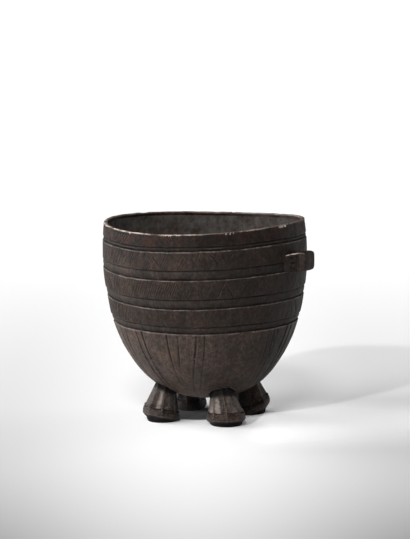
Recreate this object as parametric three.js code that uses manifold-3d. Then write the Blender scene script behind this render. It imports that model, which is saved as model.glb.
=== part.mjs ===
// Wooden food bowl, carved from one block of dark hardwood: a deep round bowl with four pairs of grooves round
// its wall, four flared and faceted feet under its belly, and one lug handle at its side.
// Each form that the carver cut free of the next is a solid of its own: the bowl, the four feet and the lug.
// Millimetres, +Z up. The bowl stands on z = 0 and its lug points along +X. The origin is on the floor, halfway
// between the wall opposite the lug and the lug's end.

import * as THREE from "three";
import { mergeVertices } from "three/addons/utils/BufferGeometryUtils.js";
import Module from "manifold-3d";

const wasm = await Module();
wasm.setup();

// The bowl's outside: a belly that follows (r / widest)^out + (depth / full depth)^down = 1, then a slight draw-in.
const WIDEST_RADIUS = 102.8;
const WIDEST_HEIGHT = 167;
const BELLY_BOTTOM = 21.4;
const ROUND_OUT = 2.56;
const ROUND_DOWN = 1.845;
const RIM_HEIGHT = 199.6;
const DRAW_IN = 0.002; // radius lost above the widest height, per square millimetre of height

// The bowl's inside, which follows the same law, and its lip
const WALL_THICKNESS = 6.2; // at the widest height
const FLOOR_THICKNESS = 13;
const LIP_THICKNESS = 3.6;
const LIP_ROUND = 0.9;

// Four pairs of grooves. Each pair is one shallow channel with a soft bead along its middle.
const CHANNELS = [
  { low: 99, high: 107.4 },
  { low: 124.2, high: 134.9 },
  { low: 153.3, high: 164.2 },
  { low: 181.6, high: 187.3 },
];
const CHANNEL_DEPTH = 1.2;
const BEAD_DEPTH = 0.5;
const CHANNEL_EDGE = 0.7;

// The carver's hand: the rim rises and dips as it goes round, the grooves below it follow, less and less, and the
// body leans a little off its axis.
const RIM_TILT = { height: 2, azimuth: 46 };
const RIM_SADDLE = { height: 2.3, azimuth: 10 };
const WAVE_FROM = 40;
const WAVE_GROWTH = 0.7;
const LEAN = { azimuth: 33, atBottom: 2.5, atRim: -0.8 };

// Four feet: flared, eight-sided, leaning out a little, with a raised outer edge and a rounded sole.
const FEET = [
  { name: "foot_front_left", azimuth: -120, reach: 49, size: 1 },
  { name: "foot_front_right", azimuth: -31, reach: 49.2, size: 1.06 },
  { name: "foot_rear_right", azimuth: 56, reach: 51, size: 1.04 },
  { name: "foot_rear_left", azimuth: 143, reach: 48.5, size: 1 },
];
const FOOT_SIDES = 8;
// Each ring round the foot, from the floor up: its centre outwards of the foot's own centre, its height, its
// radius, and the slope at which it rises outwards.
const FOOT_RINGS = [
  { out: -3.5, height: 0, radius: 11, slope: 0 },
  { out: -1, height: 2.6, radius: 15.8, slope: 0.13 },
  { out: 0, height: 6.6, radius: 18.4, slope: 0.21 },
  { out: 0, height: 10.2, radius: 18, slope: 0.21 },
  { out: -0.9, height: 14, radius: 16.6, slope: 0.16 },
  { out: -5.4, height: 42, radius: 8.8, slope: 0 },
];

// The lug handle: a root that narrows to a neck, and a wider head with a rounded end.
const LUG_REACH = 123.2;
const LUG_SECTIONS = [
  { out: 97, halfWidth: 13, low: 155.6, high: 173 },
  { out: 103.5, halfWidth: 12, low: 155.8, high: 173.8 },
  { out: 107.5, halfWidth: 8.4, low: 156, high: 175 },
  { out: 112.4, halfWidth: 8, low: 156.4, high: 176 },
  { out: 113.6, halfWidth: 10, low: 156.6, high: 176.4 },
  { out: 120.4, halfWidth: 10, low: 157.8, high: 176.8 },
  { out: LUG_REACH, halfWidth: 8.2, low: 160.4, high: 174.2 },
];
const LUG_CHAMFER = 2.2;

const GAP = 0.3; // between solids that meet
const AROUND = 72; // facets round the bowl
const DEGREE = Math.PI / 180;

// The bowl's own axis stands off the origin by half of what the lug adds to the length.
const BOWL_AXIS_X = (WIDEST_RADIUS - LUG_REACH) / 2;

const darkWood = { color: 0x3a302b, roughness: 0.5, metalness: 0 };

function material(changes = {}) {
  return new THREE.MeshStandardMaterial({ ...darkWood, ...changes });
}

// A point of the belly's curve at an angle from 0, at its widest height, to 90 degrees, at its bottom.
function bellyPoint(widest, bottom, angle) {
  const radius = widest * Math.cos(angle) ** (2 / ROUND_OUT);
  const depth = (WIDEST_HEIGHT - bottom) * Math.sin(angle) ** (2 / ROUND_DOWN);
  return new THREE.Vector2(radius, WIDEST_HEIGHT - depth);
}

// Radius of the outside at a height from the lowest channel up.
function wallRadius(height) {
  if (height > WIDEST_HEIGHT) return WIDEST_RADIUS - DRAW_IN * (height - WIDEST_HEIGHT) ** 2;
  const depth = (WIDEST_HEIGHT - height) / (WIDEST_HEIGHT - BELLY_BOTTOM);
  return WIDEST_RADIUS * (1 - depth ** ROUND_DOWN) ** (1 / ROUND_OUT);
}

// The curve of a belly from its bottom, on the axis, up to where it reaches a height.
function belly(widest, bottom, top, steps) {
  const depth = (WIDEST_HEIGHT - top) / (WIDEST_HEIGHT - bottom);
  const last = Math.asin(depth ** (ROUND_DOWN / 2));
  const points = [new THREE.Vector2(0, bottom)];
  for (let i = 1; i <= steps; i++) {
    const angle = THREE.MathUtils.lerp(Math.PI / 2, last, (i / steps) ** 1.2);
    points.push(bellyPoint(widest, bottom, angle));
  }
  return points;
}

function channelPoints({ low, high }) {
  const middle = (low + high) / 2;
  const at = (height, depth) => new THREE.Vector2(wallRadius(height) - depth, height);
  return [
    at(low, 0),
    at(low + CHANNEL_EDGE, CHANNEL_DEPTH),
    at(middle, BEAD_DEPTH),
    at(high - CHANNEL_EDGE, CHANNEL_DEPTH),
    at(high, 0),
  ];
}

// The plain wall between one channel and the next, or the rim.
function bandPoints(from, to, steps) {
  const points = [];
  for (let i = 1; i < steps; i++) {
    const height = THREE.MathUtils.lerp(from, to, i / steps);
    points.push(new THREE.Vector2(wallRadius(height), height));
  }
  return points;
}

// Half of the bowl's section: up the outside, over the lip and down the inside, from axis to axis.
function bowlProfile() {
  const points = belly(WIDEST_RADIUS, BELLY_BOTTOM, CHANNELS[0].low - 8, 13);
  CHANNELS.forEach((channel, i) => {
    const next = i + 1 < CHANNELS.length ? CHANNELS[i + 1].low : RIM_HEIGHT - LIP_ROUND;
    points.push(...channelPoints(channel), ...bandPoints(channel.high, next, 3));
  });
  const lipOut = wallRadius(RIM_HEIGHT);
  const lipIn = lipOut - LIP_THICKNESS;
  points.push(
    new THREE.Vector2(lipOut, RIM_HEIGHT - LIP_ROUND),
    new THREE.Vector2(lipOut - LIP_ROUND, RIM_HEIGHT),
    new THREE.Vector2(lipIn + LIP_ROUND, RIM_HEIGHT),
    new THREE.Vector2(lipIn, RIM_HEIGHT - LIP_ROUND),
  );
  const inside = belly(WIDEST_RADIUS - WALL_THICKNESS, BELLY_BOTTOM + FLOOR_THICKNESS, WIDEST_HEIGHT - 2, 12);
  return [...points, ...inside.reverse()];
}

// A solid of revolution about +Z.
function turned(profile) {
  return new THREE.LatheGeometry(profile, AROUND).rotateX(Math.PI / 2);
}

// How far the rim stands above or below its mean height, at an angle round the bowl.
function rimWave(angle) {
  const tilt = RIM_TILT.height * Math.cos(angle - RIM_TILT.azimuth * DEGREE);
  const saddle = RIM_SADDLE.height * Math.cos(2 * (angle - RIM_SADDLE.azimuth * DEGREE));
  return tilt + saddle;
}

// Bends a turned body to what the hand made of it: the wave of the rim and the lean.
function handMade(geometry) {
  const place = geometry.getAttribute("position");
  for (let i = 0; i < place.count; i++) {
    const [x, y, z] = [place.getX(i), place.getY(i), place.getZ(i)];
    const share = Math.max(0, (z - WAVE_FROM) / (RIM_HEIGHT - WAVE_FROM)) ** WAVE_GROWTH;
    const up = (z - BELLY_BOTTOM) / (RIM_HEIGHT - BELLY_BOTTOM);
    const off = THREE.MathUtils.lerp(LEAN.atBottom, LEAN.atRim, up);
    place.setXYZ(
      i,
      x + off * Math.cos(LEAN.azimuth * DEGREE),
      y + off * Math.sin(LEAN.azimuth * DEGREE),
      z + share * rimWave(Math.atan2(y, x)),
    );
  }
  return geometry;
}

// The space that the bowl takes, grown by the gap, which the feet and the lug are cut back to.
function bowlSpace() {
  const top = WIDEST_HEIGHT - 1;
  const outline = belly(WIDEST_RADIUS + GAP, BELLY_BOTTOM - GAP, top, 26);
  outline.push(
    new THREE.Vector2(WIDEST_RADIUS + GAP, RIM_HEIGHT - 5),
    new THREE.Vector2(0, RIM_HEIGHT - 5),
  );
  return solidOf(handMade(turned(outline)));
}

// A closed skin through rings of as many points each, with a flat end at the first and at the last.
function lofted(rings) {
  const around = rings[0].length;
  const places = rings.flat().flatMap((point) => point.toArray());
  const faces = [];
  for (let r = 0; r + 1 < rings.length; r++) {
    for (let i = 0; i < around; i++) {
      const [a, b] = [r * around + i, r * around + ((i + 1) % around)];
      faces.push(a, b, b + around, a, b + around, a + around);
    }
  }
  const lastRing = (rings.length - 1) * around;
  for (let i = 1; i + 1 < around; i++) {
    faces.push(0, i + 1, i, lastRing, lastRing + i, lastRing + i + 1);
  }
  const geometry = new THREE.BufferGeometry();
  geometry.setAttribute("position", new THREE.Float32BufferAttribute(places, 3));
  geometry.setIndex(faces);
  return geometry;
}

// A geometry as a manifold-3d solid, and back.
function solidOf(geometry) {
  const bare = geometry.clone();
  bare.deleteAttribute("normal");
  bare.deleteAttribute("uv");
  const merged = mergeVertices(bare, 1e-3);
  return new wasm.Manifold(
    new wasm.Mesh({
      numProp: 3,
      vertProperties: merged.getAttribute("position").array,
      triVerts: new Uint32Array(merged.getIndex().array),
    }),
  );
}

function geometryOf(solid) {
  const mesh = solid.getMesh();
  const geometry = new THREE.BufferGeometry();
  geometry.setAttribute("position", new THREE.BufferAttribute(mesh.vertProperties, 3));
  geometry.setIndex(new THREE.BufferAttribute(mesh.triVerts, 1));
  return geometry.toNonIndexed();
}

// One foot, on the floor below the belly, cut back to the bowl.
function footGeometry({ azimuth, reach, size }, space) {
  const rings = FOOT_RINGS.map(({ out, height, radius, slope }) =>
    Array.from({ length: FOOT_SIDES }, (_, i) => {
      const angle = ((i + 0.5) / FOOT_SIDES) * 2 * Math.PI;
      const x = size * radius * Math.cos(angle);
      return new THREE.Vector3(out + x, size * radius * Math.sin(angle), height + slope * x);
    }),
  );
  const whole = lofted(rings).translate(reach, 0, 0).rotateZ(azimuth * DEGREE);
  return geometryOf(solidOf(whole).subtract(space));
}

// The lug, as upright eight-cornered sections that follow one another out along +X, cut back to the bowl.
function lugGeometry(space) {
  const rings = LUG_SECTIONS.map(({ out, halfWidth, low, high }) => {
    const [y, c] = [halfWidth, LUG_CHAMFER];
    const corners = [
      [y, low + c],
      [y, high - c],
      [y - c, high],
      [c - y, high],
      [-y, high - c],
      [-y, low + c],
      [c - y, low],
      [y - c, low],
    ];
    return corners.map(([side, height]) => new THREE.Vector3(out, side, height));
  });
  return geometryOf(solidOf(lofted(rings)).subtract(space));
}

function named(name, geometry, finish) {
  const mesh = new THREE.Mesh(geometry, finish);
  mesh.name = name;
  return mesh;
}

const carving = new THREE.Group();
carving.position.x = BOWL_AXIS_X;

carving.add(named("bowl", handMade(turned(bowlProfile())), material()));

const space = bowlSpace();
for (const foot of FEET) {
  carving.add(named(foot.name, footGeometry(foot, space), material({ color: 0x43372f, roughness: 0.6 })));
}
carving.add(named("lug_handle", lugGeometry(space), material({ color: 0x342b26, roughness: 0.45 })));

const bowlWithFeet = new THREE.Group();
bowlWithFeet.add(carving);

export default bowlWithFeet;
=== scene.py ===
"""Wooden food bowl: a deep bowl on four flared feet, carved from one block of dark hardwood, with hatched
bands round its wall and one lug handle. Laid out as an add-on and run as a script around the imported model.

Lengths in the carving's own sums are in millimetres, because a carver's marks are that small. They become
metres where a mesh is made. Angles round the bowl are counted from the lug handle, anticlockwise seen from
above.
"""
from math import cos, pi, radians, sin, sqrt

import bpy
import numpy as np
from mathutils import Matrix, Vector


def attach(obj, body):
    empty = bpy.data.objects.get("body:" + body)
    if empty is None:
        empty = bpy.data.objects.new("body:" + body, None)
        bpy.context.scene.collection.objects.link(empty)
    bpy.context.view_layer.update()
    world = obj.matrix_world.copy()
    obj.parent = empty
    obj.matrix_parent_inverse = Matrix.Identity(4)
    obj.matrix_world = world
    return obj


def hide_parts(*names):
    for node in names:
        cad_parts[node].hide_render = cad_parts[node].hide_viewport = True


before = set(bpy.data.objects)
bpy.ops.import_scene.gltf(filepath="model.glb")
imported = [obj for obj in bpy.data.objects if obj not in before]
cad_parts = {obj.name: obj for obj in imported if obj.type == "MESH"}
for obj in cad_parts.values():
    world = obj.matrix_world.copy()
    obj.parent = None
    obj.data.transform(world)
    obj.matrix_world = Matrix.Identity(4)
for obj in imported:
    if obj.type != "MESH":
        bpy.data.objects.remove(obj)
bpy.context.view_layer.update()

bl_info = {
    "name": "Footed Food Bowl",
    "version": (1, 0, 0),
    "blender": (4, 5, 0),
    "location": "3D View > Sidebar > Food Bowl",
    "description": "Carves a dark wooden food bowl with hatched bands, four faceted feet and a lug handle",
    "category": "Add Mesh",
}

MM = 0.001

# The bowl's outside and inside, as the solids have them
WIDEST_RADIUS = 102.8
WIDEST_HEIGHT = 167.0
BELLY_BOTTOM = 21.4
ROUND_OUT = 2.45
ROUND_DOWN = 2.0
RIM_HEIGHT = 199.6
DRAW_IN = 0.002
WALL_THICKNESS = 6.2
FLOOR_THICKNESS = 13.0
LIP_THICKNESS = 3.6
INSIDE_RADIUS = WIDEST_RADIUS - WALL_THICKNESS
INSIDE_BOTTOM = BELLY_BOTTOM + FLOOR_THICKNESS
INSIDE_WIDEST_HEIGHT = WIDEST_HEIGHT - 2
CHANNELS = ((99.0, 107.4), (124.2, 134.9), (153.3, 164.2), (181.6, 187.3))

# The rise and dip of the rim and of the bands below it, and the lean of the body
RIM_TILT, RIM_TILT_AZIMUTH = 2.0, radians(46)
RIM_SADDLE, RIM_SADDLE_AZIMUTH = 2.3, radians(10)
WAVE_FROM, WAVE_GROWTH = 40.0, 0.7
LEAN_AZIMUTH, LEAN_AT_BOTTOM, LEAN_AT_RIM = radians(33), 2.8, -0.8

# How far the bands wander up and down, broadly and in short waves. It grows from a height over a length, and
# fades over another to a steady lip.
BROAD_DRIFT, SHORT_DRIFT = 0.5, 0.17
DRIFT_FROM, DRIFT_GROWS, DRIFT_FADES, STEADY_LIP = 70, 30, 10, 1.5

# How uneven the hand left the outside, in broad humps and in the knife's facets, and the inside in its
# facets. It grows from nothing at a height over a length.
OUTSIDE_HUMP, OUTSIDE_FACET, INSIDE_FACET = 0.3, 0.13, 0.3
OUTSIDE_GROWS = (BELLY_BOTTOM, 12)
INSIDE_GROWS = (34, 15)

# The lug reaches this far from the bowl's axis, which stands off the origin by half of what the lug adds.
LUG_REACH = 123.2
AXIS_X = (WIDEST_RADIUS - LUG_REACH) / 2

# The side of the bowl that faces the photograph's camera, and the directions out of it and across it
FRONT = radians(-57)
OUT_OF_FRONT = (cos(FRONT), sin(FRONT), 0)
ACROSS_FRONT = (-sin(FRONT), cos(FRONT), 0)

FEET = (
    # node, azimuth in degrees, reach from the axis, size, sideways sway of its top, how steeply its lower
    # edge slopes and by how much that edge is raised, seed
    ("foot_front_left", -120, 49.0, 1.0, 0.0, 0.21, 0.2, 3),
    ("foot_front_right", -31, 49.2, 1.06, -4.0, 0.07, 0.7, 8),
    ("foot_rear_right", 56, 51.0, 1.04, 0.0, 0.34, 0.6, 5),
    ("foot_rear_left", 143, 48.5, 1.0, 1.0, 0.2, 0.0, 11),
)


def seen(degrees):
    """The angle round the bowl of a place so many degrees to the right of the middle of the front."""
    return FRONT + radians(degrees)


def unevenness(seed, around, upward, waves=20):
    """A smooth unevenness of about 1 either way, closed round the bowl, with humps of these lengths."""
    draw = np.random.default_rng(seed)
    turns = np.rint(draw.normal(0, 2 * pi * WIDEST_RADIUS / around / 1.6, waves))
    rises = draw.normal(0, 2 * pi / upward / 1.6, waves)
    starts = draw.uniform(0, 2 * pi, waves)

    def height(angle, z):
        total = 0
        for turn, rise, start in zip(turns, rises, starts):
            total = total + np.cos(turn * angle + rise * z + start)
        return total * sqrt(2 / waves) * 0.6

    return height


OUTSIDE_HUMPS = unevenness(4, 55, 45)
OUTSIDE_FACETS = unevenness(14, 17, 19)
INSIDE_FACETS = unevenness(24, 20, 26)
BAND_DRIFT = unevenness(34, 140, 70)
EDGE_DRIFT = unevenness(74, 13, 26)
GROOVE_WEAR = unevenness(64, 24, 30)
RUBBED = unevenness(44, 60, 42)
LIP_RIPPLE = unevenness(54, 16, 60)


def wall_radius(z):
    """Radius of the plain outside at these heights."""
    depth = np.clip((WIDEST_HEIGHT - z) / (WIDEST_HEIGHT - BELLY_BOTTOM), 0, 1)
    belly = WIDEST_RADIUS * (1 - depth**ROUND_DOWN) ** (1 / ROUND_OUT)
    neck = WIDEST_RADIUS - DRAW_IN * np.clip(np.asarray(z) - WIDEST_HEIGHT, 0, None) ** 2
    return np.where(np.asarray(z) < WIDEST_HEIGHT, belly, neck)


def belly_curve(widest, bottom, top, steps, pace=1.15):
    """(radius, height) from the bottom on the axis up to a height, by the bowl's own law."""
    depth = (WIDEST_HEIGHT - top) / (WIDEST_HEIGHT - bottom)
    last = np.arcsin(depth ** (ROUND_DOWN / 2))
    angles = pi / 2 + (last - pi / 2) * np.linspace(0, 1, steps + 1) ** pace
    radius = widest * np.clip(np.cos(angles), 0, 1) ** (2 / ROUND_OUT)
    height = WIDEST_HEIGHT - (WIDEST_HEIGHT - bottom) * np.sin(angles) ** (2 / ROUND_DOWN)
    return radius, height


def growing(z, start, length):
    """0 up to a height, then rising to 1 over a length."""
    return np.clip((z - start) / length, 0, 1)


# The grooves of two channels draw together on one side of the bowl: their lower edges rise by this much.
SQUEEZE, SQUEEZE_FROM = 2.4, 10


def squeezed(angle, z):
    """How much the lower edge of a channel is raised on its way round the bowl."""
    edges = [edge for channel in CHANNELS for edge in channel]
    low_edges = np.interp(z, edges[1:6], (0, 1, 0, 1, 0))
    return SQUEEZE * low_edges * (1 - np.cos(angle - seen(SQUEEZE_FROM))) / 2


def band_drift(angle, z):
    """How far up or down the bands have wandered from their even height."""
    drift = BROAD_DRIFT * BAND_DRIFT(angle, z) + SHORT_DRIFT * EDGE_DRIFT(angle, z)
    fading = np.clip((RIM_HEIGHT - STEADY_LIP - z) / DRIFT_FADES, 0, 1)
    return drift * growing(z, DRIFT_FROM, DRIFT_GROWS) * fading + squeezed(angle, z)


def lean_at(z):
    """How far the bowl's middle line lies from its axis at a height."""
    up = (z - BELLY_BOTTOM) / (RIM_HEIGHT - BELLY_BOTTOM)
    return LEAN_AT_BOTTOM + (LEAN_AT_RIM - LEAN_AT_BOTTOM) * up


def hand_made(angle, radius, z, uneven=None):
    """Places in millimetres of points on a turned body, with the wave, the lean and the hand's unevenness."""
    if uneven is not None:
        radius = radius + uneven
    share = np.clip((z - WAVE_FROM) / (RIM_HEIGHT - WAVE_FROM), 0, None) ** WAVE_GROWTH
    tilt = RIM_TILT * np.cos(angle - RIM_TILT_AZIMUTH)
    saddle = RIM_SADDLE * np.cos(2 * (angle - RIM_SADDLE_AZIMUTH))
    lean = lean_at(z)
    x = radius * np.cos(angle) + lean * cos(LEAN_AZIMUTH) + AXIS_X
    y = radius * np.sin(angle) + lean * sin(LEAN_AZIMUTH)
    return np.stack([x, y, z + share * (tilt + saddle) + band_drift(angle, z)], axis=-1)


def on_axis(z):
    """The one point at this height on the bowl's leaning middle line, to close a mesh with."""
    middle = np.zeros(1)
    return hand_made(middle, middle, middle + z)


def outside_unevenness(angle, z):
    """How far the outside stands out from the plain wall, or in from it."""
    uneven = OUTSIDE_HUMP * OUTSIDE_HUMPS(angle, z) + OUTSIDE_FACET * OUTSIDE_FACETS(angle, z)
    return growing(z, *OUTSIDE_GROWS) * uneven


def on_wall(angle, z):
    """Where a mark on the plain outside lies, in millimetres."""
    return hand_made(angle, wall_radius(z), z, outside_unevenness(angle, z))


class FoodBowlSizes(bpy.types.PropertyGroup):
    groove_depth: bpy.props.FloatProperty(
        name="Groove Depth", description="Depth of the grooves that bound the bands",
        default=1.6 * MM, min=0.2 * MM, max=3 * MM, unit="LENGTH", precision=4)
    bead_depth: bpy.props.FloatProperty(
        name="Bead Depth", description="How far the bead between two grooves lies below the wall",
        default=0.5 * MM, min=0, max=2 * MM, unit="LENGTH", precision=4)
    hatch_depth: bpy.props.FloatProperty(
        name="Hatch Depth", description="Depth of the fine hatching where it is fresh",
        default=0.36 * MM, min=0, max=1 * MM, unit="LENGTH", precision=5)
    hatch_width: bpy.props.FloatProperty(
        name="Hatch Width", description="Width of one stroke of the hatching",
        default=1.45 * MM, min=0.3 * MM, max=3 * MM, unit="LENGTH", precision=4)
    hatch_spacing: bpy.props.FloatProperty(
        name="Hatch Spacing", description="Distance from one stroke of the hatching to the next",
        default=2.5 * MM, min=1 * MM, max=8 * MM, unit="LENGTH", precision=4)
    tooth_width: bpy.props.FloatProperty(
        name="Tooth Width", description="Width of one triangle of the hatched bands at its base",
        default=17.5 * MM, min=8 * MM, max=60 * MM, unit="LENGTH", precision=4)
    strip_depth: bpy.props.FloatProperty(
        name="Strip Line Depth", description="Depth of the lines that run down the lower bowl",
        default=0.8 * MM, min=0, max=2 * MM, unit="LENGTH", precision=4)
    strips: bpy.props.IntProperty(
        name="Strips", description="Tapering strips round the lower bowl", default=18, min=4, max=40)
    facet_hollow: bpy.props.FloatProperty(
        name="Facet Hollow", description="How deep the facets of the feet are scooped",
        default=0.55 * MM, min=0, max=2 * MM, unit="LENGTH", precision=4)


class FoodBowlColours(bpy.types.PropertyGroup):
    dark: bpy.props.FloatVectorProperty(
        name="Dark Wood", description="The patina's darker tone", subtype="COLOR", size=3,
        default=(0.0136, 0.0086, 0.0068), min=0, max=1)
    warm: bpy.props.FloatVectorProperty(
        name="Warm Wood", description="The patina's browner tone", subtype="COLOR", size=3,
        default=(0.0295, 0.0176, 0.0128), min=0, max=1)
    # Also the colour of the painted highlights on the lip, the lug's top, the channels' lower edges and the
    # feet's facets.
    wear_and_highlight: bpy.props.FloatVectorProperty(
        name="Worn Wood", description="Edges where the patina is rubbed away", subtype="COLOR", size=3,
        default=(0.176, 0.143, 0.125), min=0, max=1)
    dust: bpy.props.FloatVectorProperty(
        name="Dust", description="The grey bloom that settles in the grooves and the inside", subtype="COLOR",
        size=3, default=(0.0365, 0.0335, 0.0305), min=0, max=1)
    # Also the colour of the painted shade below, above and inside the feet, at the foot of the grooves and on
    # the lug's neck.
    grime_and_shade_colour: bpy.props.FloatVectorProperty(
        name="Grime", description="What fills the cuts", subtype="COLOR", size=3,
        default=(0.003, 0.0023, 0.002), min=0, max=1)
    floor: bpy.props.FloatVectorProperty(
        name="Floor", description="The pale floor", subtype="COLOR", size=3,
        default=(0.94, 0.94, 0.94), min=0, max=1)
    bounce: bpy.props.FloatVectorProperty(
        name="Floor Bounce", description="The floor as the wood sees it, duller than it looks",
        subtype="COLOR", size=3, default=(0.92, 0.92, 0.92), min=0, max=1)


class Drawing:
    """The carver's strokes: chains of points in millimetres, each with its width and its depth. A stroke of
    negative depth is a raised line."""

    def __init__(self):
        self.points, self.edges, self.widths, self.depths = [], [], [], []

    def stroke(self, places, width, depth):
        first = len(self.points)
        self.points.extend(np.asarray(places, float).tolist())
        for i in range(len(places) - 1):
            self.edges.append((first + i, first + i + 1))
            self.widths.append(width)
            self.depths.append(depth if np.ndim(depth) == 0 else float(depth[i]))

    def as_object(self, name):
        mesh = bpy.data.meshes.new(name)
        mesh.from_pydata([tuple(c * MM for c in p) for p in self.points], self.edges, [])
        for label, values in (("cut_width", self.widths), ("cut_depth", self.depths)):
            layer = mesh.attributes.new(label, "FLOAT", "EDGE")
            layer.data.foreach_set("value", np.array(values, np.float32) * MM)
        strokes = bpy.data.objects.new(name, mesh)
        bpy.context.scene.collection.objects.link(strokes)
        return strokes


class Nodes:
    """A small hand for building node trees: each call adds a node, sets its inputs and gives its output."""

    def __init__(self, tree):
        self.tree = tree

    def add(self, kind, inputs=None, output=0, **settings):
        node = self.tree.nodes.new(kind)
        for key, value in settings.items():
            setattr(node, key, value)
        for key, value in (inputs or {}).items():
            self.feed(node.inputs[key], value)
        return node if output is None else node.outputs[output]

    def feed(self, socket, value):
        if isinstance(value, bpy.types.NodeSocket):
            self.tree.links.new(value, socket)
        else:
            socket.default_value = value

    def math(self, operation, a, b=0.0, clamp=False):
        kind = "ShaderNodeMath"
        return self.add(kind, {0: a, 1: b}, operation=operation, use_clamp=clamp)

    def between(self, value, low, high, to_low=0.0, to_high=1.0):
        """Maps low..high to to_low..to_high, held at both ends."""
        inputs = {"Value": value, "From Min": low, "From Max": high, "To Min": to_low, "To Max": to_high}
        return self.add("ShaderNodeMapRange", inputs, clamp=True)

    def eased(self, value, low, high, to_low=0.0, to_high=1.0):
        """Maps as between does, with a soft start and end."""
        inputs = {"Value": value, "From Min": low, "From Max": high, "To Min": to_low, "To Max": to_high}
        return self.add("ShaderNodeMapRange", inputs, interpolation_type="SMOOTHSTEP")

    def product(self, first, *others):
        for other in others:
            first = self.math("MULTIPLY", first, other)
        return first

    def dot(self, a, b):
        return self.add("ShaderNodeVectorMath", {0: a, 1: b}, output="Value", operation="DOT_PRODUCT")

    def scaled(self, vector, amount):
        return self.add("ShaderNodeVectorMath", {0: vector, "Scale": amount}, operation="SCALE")


# The shoulder beside a cut: where its crest lies and how far it spreads, in half widths of the cut
SHOULDER_AT, SHOULDER_SPREAD = 1.45, 0.5
# Depths at which a cut starts to look dark, and is darkest
DARK_FROM, DARKEST_AT = 0.12 * MM, 0.9 * MM


def knife_tree():
    """Geometry Nodes: cuts every stroke of a drawing into a surface along its normals as a V with small
    raised shoulders, and notes for the finish how far each point stands above or below what surrounds it."""
    tree = bpy.data.node_groups.new("Knife Cuts", "GeometryNodeTree")
    tree.is_modifier = True
    sockets = (
        ("Geometry", "Geometry", None), ("Strokes", "Object", None), ("Shoulder", "Float", 0.11),
        ("Tremble", "Float", 0.06 * MM), ("Reach", "Int", 5), ("Finish", "Material", None),
    )
    for name, kind, default in sockets:
        socket = tree.interface.new_socket(name=name, in_out="INPUT", socket_type="NodeSocket" + kind)
        if default is not None:
            socket.default_value = default
    tree.interface.new_socket(name="Geometry", in_out="OUTPUT", socket_type="NodeSocketGeometry")

    n = Nodes(tree)
    given = n.add("NodeGroupInput", output=None)
    result = n.add("NodeGroupOutput", output=None)
    strokes = n.add("GeometryNodeObjectInfo", {"Object": given.outputs["Strokes"]}, output="Geometry")
    place = n.add("GeometryNodeInputPosition")
    normal = n.add("GeometryNodeInputNormal")

    near = n.add("GeometryNodeProximity", {0: strokes}, output="Distance", target_element="EDGES")
    nearest = n.add("GeometryNodeSampleNearest", {0: strokes}, domain="EDGE")

    def named(label):
        return n.add("GeometryNodeInputNamedAttribute", {"Name": label}, data_type="FLOAT")

    def store(geometry, label, value):
        inputs = {"Geometry": geometry, "Name": label, "Value": value}
        return n.add("GeometryNodeStoreNamedAttribute", inputs, data_type="FLOAT", domain="POINT")

    def of_stroke(label):
        value = named(label)
        sample = {"Geometry": strokes, "Value": value, "Index": nearest}
        return n.add("GeometryNodeSampleIndex", sample, data_type="FLOAT", domain="EDGE")

    half = n.math("MULTIPLY", of_stroke("cut_width"), 0.5)
    depth = of_stroke("cut_depth")
    away = n.math("DIVIDE", near, half)
    groove = n.math("SUBTRACT", 1.0, away, clamp=True)
    beside = n.math("ABSOLUTE", n.math("SUBTRACT", away, SHOULDER_AT))
    shoulder = n.math("SUBTRACT", 1.0, n.math("DIVIDE", beside, SHOULDER_SPREAD), clamp=True)
    raised = n.math("MULTIPLY", shoulder, given.outputs["Shoulder"])
    cut = n.math("MULTIPLY", n.math("SUBTRACT", groove, raised), depth)

    tremble = n.add("ShaderNodeTexNoise", {"Scale": 260.0, "Detail": 2.0, "Roughness": 0.5})
    level = n.math("SUBTRACT", tremble, 0.5)
    shake = n.math("MULTIPLY", level, given.outputs["Tremble"])
    inward = n.math("SUBTRACT", shake, cut)
    offset = n.scaled(normal, inward)
    carved = n.add("GeometryNodeSetPosition", {"Geometry": given.outputs["Geometry"], "Offset": offset})

    fresh = store(carved, "cut", n.between(cut, DARK_FROM, DARKEST_AT))
    around = {"Value": place, "Iterations": given.outputs["Reach"]}
    blurred = n.add("GeometryNodeBlurAttribute", around, data_type="FLOAT_VECTOR")
    stands = n.add("ShaderNodeVectorMath", {0: place, 1: blurred}, operation="SUBTRACT")
    relief = n.dot(stands, normal)
    lively = n.math("SUBTRACT", 1.0, named("calm"), clamp=True)
    noted = store(fresh, "relief", n.math("MULTIPLY", n.math("DIVIDE", relief, MM), lively))

    real = n.add("GeometryNodeRealizeInstances", {"Geometry": noted})
    finished = n.add("GeometryNodeSetMaterial", {"Geometry": real, "Material": given.outputs["Finish"]})
    n.feed(result.inputs["Geometry"], finished)
    return tree


def set_inputs(modifier, values):
    """Sets a Geometry Nodes modifier's inputs, given by name, through their identifiers."""
    for item in modifier.node_group.interface.items_tree:
        if item.item_type == "SOCKET" and item.in_out == "INPUT" and item.name in values:
            modifier[item.identifier] = values[item.name]


TINTS = ("hollow", "shade_and_grime", "rub_and_highlight", "calm")
# How far up the square map the first row and the poles lie. The last row lies as far below its top.
ROW_MARGIN, POLE_MARGIN = 0.02, 0.004


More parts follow.
